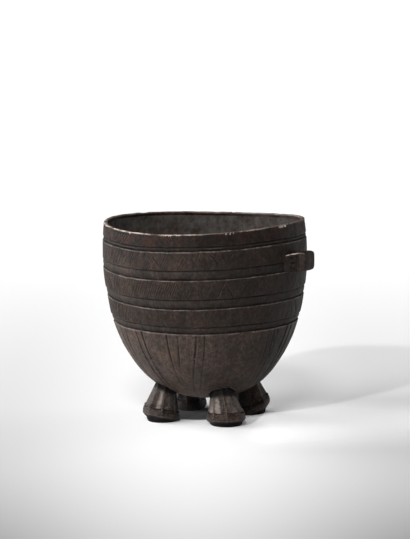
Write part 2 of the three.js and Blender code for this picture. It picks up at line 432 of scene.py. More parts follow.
def grid_mesh(name, points, closed_rows=False, poles=(None, None), tints=None, strips=1):
    """A mesh through rows of points in millimetres that go round anticlockwise. The rows join up on
    themselves, or end at a pole at either end. Its map folds the length round into strips, to fill a square.
    Tints are one value for each row, or for each point: in a hollow, darkened by dirt and painted shade, as
    at the foot of a groove, rubbed pale and painted as a highlight, or kept out of the relief."""
    rows, columns = points.shape[:2]
    index = np.arange(rows * columns).reshape(rows, columns)
    onward = np.roll(index, -1, axis=1)
    upper = np.roll(index, -1, axis=0) if closed_rows else index[1:]
    upper_onward = np.roll(onward, -1, axis=0) if closed_rows else onward[1:]
    lower, lower_onward = (index, onward) if closed_rows else (index[:-1], onward[:-1])
    quads = np.stack([lower, lower_onward, upper_onward, upper], axis=-1).reshape(-1, 4)
    places = points.reshape(-1, 3)
    triangles = np.zeros((0, 3), int)
    if poles[0] is not None:
        places = np.vstack([places, *poles])
        start_hub, end_hub = (np.full(columns, len(places) - k) for k in (2, 1))
        triangles = np.concatenate([
            np.stack([start_hub, onward[0], index[0]], axis=-1),
            np.stack([end_hub, index[-1], onward[-1]], axis=-1)])

    mesh = bpy.data.meshes.new(name)
    mesh.vertices.add(len(places))
    mesh.vertices.foreach_set("co", (places * MM).astype(np.float32).ravel())
    corners = np.concatenate([quads.ravel(), triangles.ravel()])
    mesh.loops.add(len(corners))
    mesh.loops.foreach_set("vertex_index", corners.astype(np.int32))
    sizes = np.concatenate([np.full(len(quads), 4), np.full(len(triangles), 3)])
    mesh.polygons.add(len(sizes))
    mesh.polygons.foreach_set("loop_start", (np.cumsum(sizes) - sizes).astype(np.int32))
    mesh.polygons.foreach_set("use_smooth", np.ones(len(sizes), bool))
    mesh.update(calc_edges=True)
    mesh.validate()

    steps = np.linalg.norm(np.diff(points, axis=0, append=points[:1]), axis=2).mean(axis=1)
    along = np.concatenate([[0], np.cumsum(steps)])
    along = along / along[-1] * (1 - 2 * ROW_MARGIN) + ROW_MARGIN
    per_strip = columns // strips
    strip = (np.arange(columns) // per_strip).clip(max=strips - 1)
    left = (np.arange(columns) - strip * per_strip) / per_strip
    right = left + 1 / per_strip
    middle = left + 1 / per_strip / 2
    flat = []

    def unfold(across, upward):
        """The map of one row of faces: how far across and how far up its strip each corner lies."""
        upward = np.broadcast_to(upward, (columns, len(upward)))
        corners = np.stack([np.stack(across, axis=-1), upward], axis=-1)
        corners[..., 1] = (corners[..., 1] + strip[:, None]) / strips
        flat.append(corners.reshape(-1, 2))

    for low, high in zip(along[:len(lower)], along[1:]):
        unfold((left, right, right, left), (low, low, high, high))
    if poles[0] is not None:
        unfold((middle, right, left), (POLE_MARGIN, along[0], along[0]))
        unfold((middle, left, right), (1 - POLE_MARGIN, along[rows - 1], along[rows - 1]))
    unfolded = mesh.uv_layers.new(name="OFBake")
    unfolded.data.foreach_set("uv", np.concatenate(flat).astype(np.float32).ravel())

    for label in TINTS:
        values = np.zeros(len(places), np.float32)
        tint = np.reshape((tints or {}).get(label, np.zeros(rows)), (rows, -1))
        values[: rows * columns] = np.broadcast_to(tint, (rows, columns)).ravel()
        mesh.attributes.new(label, "FLOAT", "POINT").data.foreach_set("value", values)
    return mesh


def carve(name, mesh, drawing, finish, node, slot, **knife):
    """Cuts a drawing into a blank with the knife tree and makes the result a finished piece that stands for a
    node of the solid model."""
    blank = bpy.data.objects.new(name + "_blank", mesh)
    bpy.context.scene.collection.objects.link(blank)
    strokes = drawing.as_object(name + "_strokes")
    tree = bpy.data.node_groups.get("Knife Cuts") or knife_tree()
    modifier = blank.modifiers.new("Knife Cuts", "NODES")
    modifier.node_group = tree
    set_inputs(modifier, {"Strokes": strokes, "Finish": finish, **knife})
    graph = bpy.context.evaluated_depsgraph_get()
    whole = blank.evaluated_get(graph)
    made = bpy.data.meshes.new_from_object(whole, preserve_all_data_layers=True, depsgraph=graph)
    blank.modifiers.remove(modifier)
    for scratch in (blank, strokes):
        old = scratch.data
        bpy.data.objects.remove(scratch)
        bpy.data.meshes.remove(old)
    made.name = name
    made.set_sharp_from_angle(angle=radians(62))
    piece = bpy.data.objects.new(name, made)
    bpy.context.scene.collection.objects.link(piece)
    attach(piece, "root")
    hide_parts(node)
    return piece


# The stretch across the bowl, from the front's left to its right, over which the wood's painted light and
# shade goes from lighter to darker, as the light falls
SIDE_LIGHT_FROM, SIDE_LIGHT_TO = -90 * MM, 75 * MM
# How much grey dust lies in the hollows at least, and how rough dust and grime make the wood
SETTLED_DUST, DUST_ROUGHNESS = 0.55, 0.25


def wood(name, colours, rubbed=0.5, rub_and_highlight_amount=0.8, pale=1.0, dusty=0.0, warmth=0.5, gloss=0.5, red=0.0,
         lift=1.0, lively=1.0, painted_side_light=(1.0, 1.0), crackle=0.0):
    """Dark hardwood under an old patina: brown and near-black clouds, flecks and grain along the height,
    dirt in the cuts, dirt and painted shade where marked, paler rubbed edges, painted highlights where marked
    and grey dust in the hollows. rubbed says how much shows of rubbed edges, the argument after it how much
    shows of the places marked as rubbed pale and as painted highlights, and pale how light they are. dusty is
    the least dust, warmth how brown the clouds are, red how ruddy some of them are, lift how light the whole
    is, lively how strong its grain and flecks are, and crackle how strong its net of fine cracks. The last
    but one argument is
    painted light and shade: how the tone changes from the front's left to its right, lighter where the light
    falls."""
    material = bpy.data.materials.new(name)
    material.use_nodes = True
    tree = material.node_tree
    tree.nodes.clear()
    n = Nodes(tree)
    shader = n.add("ShaderNodeBsdfPrincipled", output=None)
    output = n.add("ShaderNodeOutputMaterial", {"Surface": shader.outputs[0]}, output=None)
    output.is_active_output = True
    place = n.add("ShaderNodeTexCoord", output="Object")

    def noise(scale, detail=3.0, roughness=0.55, stretch=None, offset=0.0):
        where = place
        if stretch is not None or offset:
            mapping = {"Vector": place, "Scale": stretch or (1, 1, 1), "Location": (offset, offset, offset)}
            where = n.add("ShaderNodeMapping", mapping)
        inputs = {"Vector": where, "Scale": scale, "Detail": detail, "Roughness": roughness}
        return n.add("ShaderNodeTexNoise", inputs)

    def blend(amount, a, b, how="MIX"):
        inputs = {0: amount, 6: a, 7: b}
        return n.add("ShaderNodeMix", inputs, output=2, data_type="RGBA", blend_type=how, clamp_factor=True)

    def colour(value):
        return (*value, 1.0)

    clouds = noise(26, 3, offset=0.3)
    blotches = noise(120, 4, 0.6)
    flecks = noise(760, 3, 0.6)
    grain = noise(520, 4, 0.6, stretch=(1, 1, 0.09))
    rings = noise(90, 3, 0.5, stretch=(1, 1, 0.16), offset=0.7)

    relief, cut, hollow, shade_and_grime, rub_and_highlight = (
        n.add("ShaderNodeAttribute", output="Fac", attribute_name=label)
        for label in ("relief", "cut", "hollow", "shade_and_grime", "rub_and_highlight"))

    tone = n.math("ADD", n.math("MULTIPLY", clouds, 0.55), n.math("MULTIPLY", blotches, 0.25))
    tone = n.math("ADD", tone, n.math("MULTIPLY", rings, 0.3))
    cooler = 0.12 * (0.5 - warmth)
    tone = n.between(tone, 0.48 + cooler, 0.66 + cooler)
    base = blend(tone, colour(colours.dark), colour(colours.warm))
    if red:
        ruddy = tuple(c * k for c, k in zip(colours.warm, (1.25, 0.85, 0.72)))
        base = blend(n.between(noise(60, 3, offset=1.4), 0.5, 0.62, 0, red), base, colour(ruddy))
    bloom = n.between(blotches, 0.27, 0.63)
    settled = n.between(hollow, 0.0, 1.0, dusty, max(dusty, SETTLED_DUST))
    base = blend(n.math("MULTIPLY", bloom, settled), base, colour(colours.dust))

    speckle = n.between(flecks, 0.3, 0.7, 1 - 0.4 * lively, 1 + 0.4 * lively)
    streaks = n.between(grain, 0.32, 0.68, 1 - 0.28 * lively, 1 + 0.25 * lively)
    uneven = noise(270, 3, 0.55, offset=5.1)
    mottle = n.between(uneven, 0.32, 0.68, (1 - 0.34 * lively) * lift, (1 + 0.4 * lively) * lift)
    shade = n.product(speckle, streaks, mottle)
    if crackle:
        bent = n.add("ShaderNodeMix", {0: 0.004, 4: place, 5: noise(300, 2)}, output=1, data_type="VECTOR")
        net = n.add("ShaderNodeTexVoronoi", {"Vector": bent, "Scale": 330}, feature="DISTANCE_TO_EDGE")
        shade = n.math("MULTIPLY", shade, n.between(net, 0.02, 0.16, 1 - crackle, 1 + 0.3 * crackle))
    # Painted light and shade: the tone is lighter on the front's left and darker on its right, as the light
    # falls.
    sideways = n.dot(place, ACROSS_FRONT)
    shade = n.math("MULTIPLY", shade, n.between(sideways, SIDE_LIGHT_FROM, SIDE_LIGHT_TO, *painted_side_light))
    base = n.scaled(base, shade)

    edges = n.between(relief, 0.1, 0.34)
    patchy = n.between(noise(70, 3, 0.6, offset=2.1), 0.36, 0.58, 0.12, 1.0)
    broken = n.between(noise(48, 3, 0.6, offset=4.4), 0.38, 0.58, 0.45, 1.3)
    edges = n.product(edges, broken, rubbed)
    patchy = n.math("MULTIPLY", patchy, n.between(uneven, 0.38, 0.6, 0.55, 1.25))
    # Wear and painted highlights: rubbed edges, and the places marked as rubbed pale and as highlights, take
    # the pale colour.
    wear_and_highlight = n.math("MAXIMUM", edges, n.product(rub_and_highlight, patchy, rub_and_highlight_amount))
    base = blend(wear_and_highlight, base, colour(tuple(c * pale for c in colours.wear_and_highlight)))
    deep = n.between(relief, -0.03, -0.2)
    patchiness = n.between(noise(95, 3, 0.6, offset=3.7), 0.34, 0.6, 0.45, 1.0)
    # Dirt in the cuts and lowest places, and dirt with painted shade where marked, take the dark colour.
    grime_and_shade_share = n.math("MAXIMUM", n.math("MULTIPLY", cut, 0.7), n.math("MULTIPLY", deep, 0.85))
    grime_and_shade_share = n.math("MAXIMUM", grime_and_shade_share, n.math("MULTIPLY", shade_and_grime, patchiness))
    base = blend(grime_and_shade_share, base, colour(colours.grime_and_shade_colour))
    n.feed(shader.inputs["Base Color"], base)

    satin = n.between(blotches, 0.3, 0.7, 0.56 - 0.2 * gloss, 0.72 - 0.2 * gloss)
    matt = n.math("ADD", satin, n.math("MULTIPLY", n.math("MAXIMUM", grime_and_shade_share, settled), DUST_ROUGHNESS))
    n.feed(shader.inputs["Roughness"], n.math("SUBTRACT", matt, n.math("MULTIPLY", wear_and_highlight, 0.08)))

    pits = n.math("ADD", n.math("MULTIPLY", flecks, 0.5), n.math("MULTIPLY", grain, 0.5))
    knocks = n.math("ADD", pits, n.math("MULTIPLY", blotches, 0.7))
    bump = n.add("ShaderNodeBump", {"Height": knocks, "Distance": 0.32 * MM, "Strength": 0.55})
    n.feed(shader.inputs["Normal"], bump)
    shader.inputs["IOR"].default_value = 1.5
    shader.inputs["Specular IOR Level"].default_value = 0.14
    return material


# How the wood of each group of pieces differs from the plain patina. The pair of numbers in each is painted
# light and shade across the front, and pale sets how light its painted highlights and rubbed places are.
FINISHES = {
    "Outside Wood": dict(
        rubbed=0.5, rub_and_highlight_amount=1.0, dusty=0.25, warmth=0.46, gloss=0.55, red=0.25, lift=1.05, lively=0.9,
        painted_side_light=(1.3, 0.64)),
    "Lower Wood": dict(
        rubbed=0.4, dusty=0.3, warmth=0.45, gloss=0.7, red=0.1, lift=1.16, lively=0.85, painted_side_light=(2.25, 0.6)),
    "Rim Wood": dict(
        rubbed=0.32, rub_and_highlight_amount=1.0, pale=3.3, warmth=0.55, gloss=0.4, red=1.0, lift=0.78, painted_side_light=(0.95, 0.8)),
    "Inside Wood": dict(
        rubbed=0.3, dusty=1.0, warmth=0.3, gloss=0.2, lift=1.95, lively=0.35, painted_side_light=(1.45, 0.66)),
    "Foot Wood": dict(
        rubbed=0.6, rub_and_highlight_amount=1.0, dusty=0.15, warmth=0.85, gloss=1.0, lift=1.18, crackle=0.6),
    "Lug Wood": dict(rubbed=0.25, rub_and_highlight_amount=1.0, pale=3.4, dusty=0.25, warmth=0.42, gloss=0.6, lift=0.85),
}


def finish_of(name):
    """The finish of a group of pieces, made the first time that it is asked for."""
    made = bpy.data.materials.get(name)
    return made or wood(name, bpy.context.scene.food_bowl_colours, **FINISHES[name])


# The lower and the upper groove of a channel: how far from the edge the lip, the foot and the bead begin
LOWER_GROOVE = (0.1, 0.95, 3.3)
UPPER_GROOVE = (0.1, 0.9, 2.6)
# The wall begins to turn this far before a channel's edge, and is this deep at the groove's lip.
TURN_BEFORE, LIP_DEPTH = 0.35, 0.12
# How much deeper the sides of a bead lie than its crest, and the share of the depth that the upper groove has
BEAD_SLOPE, UPPER_SHARE = 0.16, 0.85


def channels(z, sizes):
    """Depth of the paired grooves and their beads below the plain wall at these heights, with the tints."""
    groove, bead = sizes.groove_depth / MM, sizes.bead_depth / MM
    depth, hollow, shade_and_grime, rub_and_highlight, calm = (np.zeros_like(z) for _ in range(5))
    for low, high in CHANNELS:
        room = (high - low) / 2 - 0.3
        lip, foot, crest = LOWER_GROOVE
        upper_lip, upper_foot, upper_crest = UPPER_GROOVE
        heights = (low - TURN_BEFORE, low + lip, low + foot, low + min(crest, room), (low + high) / 2,
                   high - min(upper_crest, room), high - upper_foot, high - upper_lip, high + TURN_BEFORE)
        depths = (0, LIP_DEPTH, groove, bead + BEAD_SLOPE, bead, bead + BEAD_SLOPE, UPPER_SHARE * groove,
                  LIP_DEPTH, 0)
        depth = np.maximum(depth, np.interp(z, heights, depths))
        hollow = np.maximum(hollow, np.interp(z, (low, low + 1, high - 1, high), (0, 1, 1, 0)))
        # Dirt and painted shade darken the foot of each groove, less across the bead.
        dark = (0.25, foot, foot + 0.5, min(crest, room), 1.1 * room, 1.6 * room)
        shade_and_grime = np.maximum(shade_and_grime, np.interp(z - low, dark, (0, 0.85, 0.75, 0.5, 0.35, 0.1)))
        dark = (0.15, upper_foot - 0.2, upper_foot + 0.25, min(upper_crest, room) + 0.3)
        shade_and_grime = np.maximum(shade_and_grime, np.interp(high - z, dark, (0, 1.0, 0.8, 0)))
        # Wear and a painted highlight along the lower edge of each channel.
        rub_and_highlight = np.maximum(rub_and_highlight, np.interp(z - low, (-0.55, -0.15, 0.12, 0.3), (0, 1, 1, 0)))
        calm = np.maximum(calm, np.interp(z - high, (-0.3, 0.0, 0.6, 1.4), (0, 0.7, 0.7, 0)))
    return depth, {"hollow": hollow, "shade_and_grime": shade_and_grime, "rub_and_highlight": rub_and_highlight, "calm": calm}


def extended(tints, before, after):
    """Tints of some rows, with plain rows added before and after them."""
    plain_before, plain_after = np.zeros(before), np.zeros(after)
    return {label: np.concatenate([plain_before, values, plain_after]) for label, values in tints.items()}


def calm_seams(heights, seams, reach=2.2):
    """1 where two rings meet and 0 from a reach away, to keep a seam from showing as an edge."""
    away = np.min([np.abs(heights - seam) for seam in seams], axis=0)
    return np.clip(1.6 - away / reach * 1.6, 0, 1)


def channels_between(heights, seams, sizes):
    """The channels' depth and tints at these heights, with calm seams."""
    depth, tints = channels(heights, sizes)
    tints["calm"] = np.maximum(tints["calm"], calm_seams(heights, seams))
    return depth, tints


def wall_heights(low, high, spacing):
    """Heights of the rows of points up a stretch of the wall, close together where the grooves turn."""
    fixed = [low, high]
    for bottom, top in CHANNELS:
        for edge, side, (lip, foot, crest) in ((bottom, 1, LOWER_GROOVE), (top, -1, UPPER_GROOVE)):
            turns = (-TURN_BEFORE, lip, (lip + foot) / 2, foot, (foot + crest) / 2, crest)
            fixed += [edge + side * turn for turn in turns]
    fixed = sorted({round(h, 3) for h in fixed if low - 1e-6 <= h <= high + 1e-6})
    heights = []
    for a, b in zip(fixed, fixed[1:]):
        count = max(1, round((b - a) / spacing))
        heights += [a + (b - a) * k / count for k in range(count)]
    return np.array([*heights, high])


def seam_heights():
    """The bowl's carving is worked in rings that meet in the lower groove of each pair."""
    return [low + LOWER_GROOVE[1] for low, _ in CHANNELS]


def grid_round(heights, columns):
    """The height and the angle of every point of these rows."""
    return np.meshgrid(heights, np.linspace(0, 2 * pi, columns, endpoint=False), indexing="ij")


def wavering(depth, angle, z):
    """The depth of each row's groove, worn more and less on its way round."""
    return np.reshape(depth, (-1, 1)) * np.clip(0.95 + 0.3 * GROOVE_WEAR(angle, z), 0.45, 1.35)


def ring_points(columns, radius, heights, weight, depth):
    """Rows of points round the bowl, cut in by a depth that wavers. Where weight is 1 the row has the
    outside's unevenness."""
    z, angle = grid_round(heights, columns)
    uneven = outside_unevenness(angle, z) * weight[:, None]
    return hand_made(angle, radius[:, None] - wavering(depth, angle, z), z, uneven)


def turned_from(angle, degrees):
    """How far an angle lies from a place so many degrees from the front's middle, the short way round."""
    return (angle - seen(degrees) + pi) % (2 * pi) - pi


# Where round the bowl, in degrees from the front's middle, the fine cuts are crispest, and how much crisper
CRISP_AT, CRISP_REACH, CRISPER = -50, radians(26), 0.8
# A patch low on the bowl that hands have worn smooth: degrees, reach, height and reach up and down
SMOOTH_AT, SMOOTH_REACH, SMOOTH_HEIGHT, SMOOTH_RISE = 27, radians(15), 62, 34


def rubbed_at(angle, z, least=0.25):
    """How much of a fine cut is left after long handling: 1 is all of it, and more where it is crisper."""
    away = turned_from(angle, CRISP_AT)
    crisp = 1 + CRISPER * np.exp(-((away / CRISP_REACH) ** 2))
    left = np.clip(0.72 + 0.5 * RUBBED(angle, z), least, 1) * crisp
    off_patch = ((angle - seen(SMOOTH_AT)) / SMOOTH_REACH) ** 2
    smooth_patch = np.exp(-off_patch - ((z - SMOOTH_HEIGHT) / SMOOTH_RISE) ** 2)
    return float(left * (1 - 0.9 * smooth_patch))


def wall_stroke(drawing, start, end, width, depth, draw, shiver=0.12):
    """One stroke on the wall between two places given as (angle, height)."""
    length = np.hypot((end[0] - start[0]) * WIDEST_RADIUS, end[1] - start[1])
    count = max(2, int(length / 2.5) + 1)
    t = np.linspace(0, 1, count + 1)
    bow = draw.normal(0, shiver * 2.5) * np.sin(pi * t) / WIDEST_RADIUS
    angle = start[0] + (end[0] - start[0]) * t + bow
    z = start[1] + (end[1] - start[1]) * t
    kept = [depth * rubbed_at(a, h) for a, h in zip(angle[:-1], z[:-1])]
    drawing.stroke(on_wall(angle, z), width, kept)


HATCH_MARGIN = 0.8  # how far the hatching stays from a band's edges


def hatched_band(drawing, low, high, sizes, first, seed, slants=(), depth_share=1.0):
    """Triangles that stand side by side round the bowl, hatched with fine strokes along one of their sides.
    The strokes lean right or left by turns, or as the slants say: (from, to, lean) with degrees from the
    front."""
    draw = np.random.default_rng(seed)
    count = round(2 * pi * WIDEST_RADIUS / (sizes.tooth_width / MM))
    step = 2 * pi / count
    width, depth = sizes.hatch_width / MM, sizes.hatch_depth / MM * depth_share
    low, high = low + HATCH_MARGIN, high - HATCH_MARGIN
    corners = first + step * (np.arange(count) + draw.uniform(-0.1, 0.1, count))
    corners = np.append(corners, corners[0] + 2 * pi)
    tops = (corners[:-1] + corners[1:]) / 2 + step * draw.uniform(-0.09, 0.09, count)
    tops = np.append(tops, tops[0] + 2 * pi)
    strokes = max(3, round(sizes.tooth_width / sizes.hatch_spacing))
    lean = 1
    for k in range(count):
        if draw.random() < 0.55:
            lean = -lean
        for start, end, given in slants:
            if abs(turned_from(tops[k], (start + end) / 2)) < radians(end - start) / 2:
                lean = given
        triangles = (
            ((corners[k], low), (tops[k], high), (corners[k + 1], low)),
            ((tops[k], high), (corners[k + 1], low), (tops[k + 1], high)),
        )
        for upside, (left, point, right) in zip((1, -1), triangles):
            outline = depth * draw.uniform(0.5, 1.2)
            wall_stroke(drawing, left, point, width * 1.2, outline, draw)
            along, across = (left, right) if lean * upside > 0 else (right, left)
            for i in range(1, strokes):
                t = i / strokes + draw.uniform(-0.035, 0.035)
                base = (along[0] + (across[0] - along[0]) * t, left[1])
                side = (point[0] + (across[0] - point[0]) * t, point[1] + (left[1] - point[1]) * t)
                if draw.random() < 0.9:
                    wall_stroke(drawing, base, side, width, depth * draw.uniform(0.45, 1.1), draw)


def scratches(drawing, low, high, count, seed, radius=wall_radius, lift=outside_unevenness):
    """A few knocks and scratches from use."""
    draw = np.random.default_rng(seed)
    for _ in range(count):
        angle, z = draw.uniform(0, 2 * pi), draw.uniform(low, high)
        length, slope = draw.uniform(4, 16), draw.normal(0, 0.7)
        t = np.linspace(-0.5, 0.5, 6)
        angles = angle + length * t * cos(slope) / WIDEST_RADIUS
        heights = np.clip(z + length * t * sin(slope), low, high)
        places = hand_made(angles, radius(heights), heights, lift(angles, heights))
        drawing.stroke(places, draw.uniform(0.5, 0.9), draw.uniform(0.08, 0.2))


BAND_COLUMNS, BAND_SPACING = 1440, 0.56  # points round a ring, and from one of its rows to the next
HIDDEN = 3.2  # how far behind the wall's face the unseen back of a ring lies


def ring_mesh(name, low, high, sizes):
    """One closed ring of the wall from one seam to the next."""
    z = wall_heights(low, high, BAND_SPACING)
    depth, tints = channels_between(z, (low, high), sizes)
    back = np.array([high, (low + high) / 2, low])
    radius = np.concatenate([wall_radius(z), wall_radius(back) - HIDDEN])
    none = np.zeros(len(back))
    weight = np.concatenate([np.ones(len(z)), none])
    heights = np.concatenate([z, back])
    points = ring_points(BAND_COLUMNS, radius, heights, weight, np.concatenate([depth, none]))
    return grid_mesh(name, points, closed_rows=True, tints=extended(tints, 0, len(back)), strips=5)


def inside_curve(top, steps):
    """(radius, height) up the inside from the middle of its floor."""
    radius, z = belly_curve(INSIDE_RADIUS, INSIDE_BOTTOM, INSIDE_WIDEST_HEIGHT, steps)
    lip_inside = float(wall_radius(RIM_HEIGHT)) - LIP_THICKNESS
    rest = np.linspace(INSIDE_WIDEST_HEIGHT, top, 14)[1:]
    spread = (rest - INSIDE_WIDEST_HEIGHT) / (RIM_HEIGHT - WIDEST_HEIGHT)
    return np.append(radius, radius[-1] + (lip_inside - radius[-1]) * spread), np.append(z, rest)


INSIDE_SEAM = 195.8  # the height at which the rim band and the inside meet


def inside_unevenness(angle, z):
    """How far the gouge's facets make the inside stand out from its plain form, or in from it."""
    return INSIDE_FACET * INSIDE_FACETS(angle, z) * growing(z, *INSIDE_GROWS)


# The bands from the lowest up: where a triangle starts, which way the hatching leans (1 is up to the right),
# and deeper marks as (degrees, height) to (degrees, height) with width and depth. Degrees are from the front.
BANDS = (
    ("lower_band", -3, ((-34, -24, 1), (20, 30, 1), (52, 64, -1)), (
        (-69.5, 110, -66.5, 122, 3.2, 1.4), (-64.5, 110, -61.5, 123, 3.4, -0.5),
        (-60.5, 110, -58, 122.5, 1.9, 0.9), (6, 110, 12, 121, 1.1, 0.35), (13, 121, 17, 110, 1.1, 0.35),
        (58, 122, 61, 112, 1.3, 0.6), (64, 122, 67, 112, 1.4, 0.7), (-8, 110, -4, 121, 1.0, 0.3),
    )),
    ("middle_band", -1, ((-30, -14, 1), (-11, -5, 1), (24, 40, -1)), (
        (7, 137.2, 10.4, 150.4, 1.7, 0.85), (10.4, 150.4, 15.2, 136.4, 1.8, 0.9),
        (8.6, 137.5, 11.2, 146, 1.1, 0.4), (-68.5, 153, -62.5, 137, 4.2, 1.6),
        (-2.5, 137, -6.5, 151, 1.2, 0.4), (20, 137, 25, 150, 1.2, 0.4), (33, 151, 39, 138, 1.2, 0.45),
        (-50, 138, -46, 151, 1.3, 0.5),
    )),
    ("upper_band", -6.5, ((-46, -24, 1), (-9, 8, -1), (18, 32, 1)), (
        (-29, 176, -24.5, 166.5, 1.6, 0.7), (3, 178.5, 7.2, 169.5, 1.7, 0.85),
        (9.5, 178, 11.5, 171, 1.2, 0.5), (12.5, 172, 15.5, 179, 1.2, 0.5), (-8.5, 179, -4, 167, 1.2, 0.5),
        (-18, 166.5, -13, 177, 1.1, 0.3), (24, 166.5, 29, 179, 1.2, 0.4), (34, 168, 37, 180, 1.2, 0.4),
        (-58, 167, -55, 181, 1.3, 0.5),
    )),
)
LEAST_MARK_WIDTH = 1.7  # a narrower mark would fall between the points of a ring


class FOODBOWL_OT_bands(bpy.types.Operator):
    """Carve the three hatched bands between the grooves"""

    bl_idname = "food_bowl.bands"
    bl_label = "Hatched Bands"

    def execute(self, context):
        sizes = context.scene.food_bowl_sizes
        seams = seam_heights()
        for k, (name, first, slants, marks) in enumerate(BANDS):
            low, high = CHANNELS[k][1], CHANNELS[k + 1][0]
            drawing = Drawing()
            hatched_band(drawing, low, high, sizes, seen(first), seed=20 + k, slants=slants)
            for start, bottom, end, top, width, depth in marks:
                angle, z = np.radians(np.linspace(start, end, 7)) + FRONT, np.linspace(bottom, top, 7)
                drawing.stroke(on_wall(angle, z), max(width, LEAST_MARK_WIDTH), depth)
            scratches(drawing, low, high, 14, seed=60 + k)
            if name == "upper_band":
                frame_lug_root(drawing)
            mesh = ring_mesh(name, seams[k], seams[k + 1], sizes)
            carve(name, mesh, drawing, finish_of("Outside Wood"), "bowl", "bowl_wood")
        return {"FINISHED"}


# Beside the lug, the groove and the raised border: how far from its middle, width and depth, and their ends
LUG_FRAME = ((13.4, 2.6, 0.95), (16.2, 2.0, -0.5))
LUG_FRAME_BOTTOM, LUG_FRAME_TOP = 156.5, 171.5


def frame_lug_root(drawing):
    """The groove and the thin raised border on the wall at both sides of the lug."""
    for side in (-1, 1):
        for away, width, depth in LUG_FRAME:
            z = np.linspace(LUG_FRAME_BOTTOM, LUG_FRAME_TOP, 7)
            angle = np.full_like(z, side * away / WIDEST_RADIUS)
            drawing.stroke(on_wall(angle, z), width, depth)


# The lip over the top of the wall: how far its points lie inwards of the outer edge, or outwards of the inner
# one, how far below the rim's height, and how much each is rubbed pale and painted as a highlight
LIP_OUTER = ((0, 0.7, 0.7), (0.05, 0.4, 1), (0.2, 0.16, 1), (0.5, 0.03, 1), (1.3, 0, 0.6))
LIP_INNER = ((1.2, 0.02, 0.4), (0.5, 0.15, 0.5), (0.15, 0.5, 0.3), (0, 1.3, 0.1))
LIP_BEGINS = 1.1  # how far below the rim's height the plain wall ends
RIM_BACK = 1.6  # how far behind the inside's face the unseen back of the rim band lies


class FOODBOWL_OT_rim(bpy.types.Operator):
    """Carve the rim band and its worn, chipped lip"""

    bl_idname = "food_bowl.rim"
    bl_label = "Rim"

    def execute(self, context):
        sizes = context.scene.food_bowl_sizes
        low = seam_heights()[-1]
        z = wall_heights(low, RIM_HEIGHT - LIP_BEGINS, BAND_SPACING)
        depth, tints = channels_between(z, (low,), sizes)
        lip_out = float(wall_radius(RIM_HEIGHT))
        lip_in = lip_out - LIP_THICKNESS
        lip = np.array([
            *((lip_out - inwards, RIM_HEIGHT - down, rubbed) for inwards, down, rubbed in LIP_OUTER),
            *((lip_in + outwards, RIM_HEIGHT - down, rubbed) for outwards, down, rubbed in LIP_INNER),
        ])
        inner_r, inner_z = inside_curve(RIM_HEIGHT, 40)
        down = np.linspace(RIM_HEIGHT - 2.1, INSIDE_SEAM, 5)
        down_r = np.interp(down, inner_z, inner_r)
        back_r = down_r[-1] + RIM_BACK
        radius = np.concatenate([wall_radius(z), lip[:, 0], down_r, [back_r, back_r]])
        heights = np.concatenate([z, lip[:, 1], down, [INSIDE_SEAM, low]])
        rest = np.zeros(len(heights) - len(z))
        outside = np.ones(len(z) + len(lip))
        weight = np.concatenate([outside, np.linspace(0.8, 0, len(down)), [0, 0]])[:, None]
        tints = extended(tints, 0, len(rest))
        # The lip's marks are wear and a painted highlight.
        tints["rub_and_highlight"][len(z): len(outside)] = lip[:, 2]
        tints["calm"][len(outside):] = np.clip(np.linspace(-1, 3, len(down) + 2), 0, 1)
        heights, angle = grid_round(heights, BAND_COLUMNS)
        radius = radius[:, None] - wavering(np.concatenate([depth, rest]), angle, heights)
        heights, broken = chipped(angle, radius, heights, lip_in)
        # Painted highlight on the lip: paler on the front's left, where the light falls, than on its right;
        # the noise in it is wear.
        rub_and_highlight_amount = np.clip(0.8 - 0.5 * np.sin(angle - FRONT) + 0.5 * RUBBED(angle, 0 * angle), 0.3, 0.88)
        tints["rub_and_highlight"] = np.maximum(tints["rub_and_highlight"][:, None] * rub_and_highlight_amount, broken)
        inner = (1 - weight) * inside_unevenness(angle, heights)
        inner[-2:] = 0
        points = hand_made(angle, radius, heights, outside_unevenness(angle, heights) * weight + inner)
        drawing = Drawing()
        bottom = CHANNELS[-1][1]
        hatched_band(drawing, bottom, RIM_HEIGHT - 1.5, sizes, seen(-2), seed=31, depth_share=0.9)
        scratches(drawing, bottom, RIM_HEIGHT - 2, 16, seed=71)
        mesh = grid_mesh("rim_band", points, closed_rows=True, tints=tints, strips=5)
        carve("rim_band", mesh, drawing, finish_of("Rim Wood"), "bowl", "bowl_wood")
        return {"FINISHED"}


# Damage to the lip: degrees from the middle of the front, half its width, how deep, and how much of the lip's
# thickness it takes, counted from the outer edge
LIP_CHIPS = (
    (48, 4.2, 1.9, 0.75), (51.5, 2.2, 1.2, 0.6), (12.0, 0.9, 0.9, 0.8), (14.2, 1.0, 1.3, 0.9),
    (16.2, 0.8, 0.8, 0.8), (-46, 1.2, 0.5, 0.5), (-141, 5.5, 1.6, 0.9), (162, 2.0, 1.2, 0.9),
    (95, 3.0, 1.0, 0.6), (-95, 2.5, 0.9, 0.7), (128, 3.4, 1.1, 0.7), (-118, 1.6, 0.8, 0.6),
)
# A row of fine nicks in the lip, in degrees from the front's middle, with half their width and their depth
NICKS_FROM, NICKS_TO, NICK_STEP = -34, -12, 1.25
NICK_HALF, NICK_DEPTH = 0.55, 0.4
LIP_RIPPLE_DEPTH = 0.16
LIP_EDGE = 1.7  # how far below the rim's height the lip still moves down whole
DAMAGE_REACH = 4  # how far below the rim's height no damage shows any more


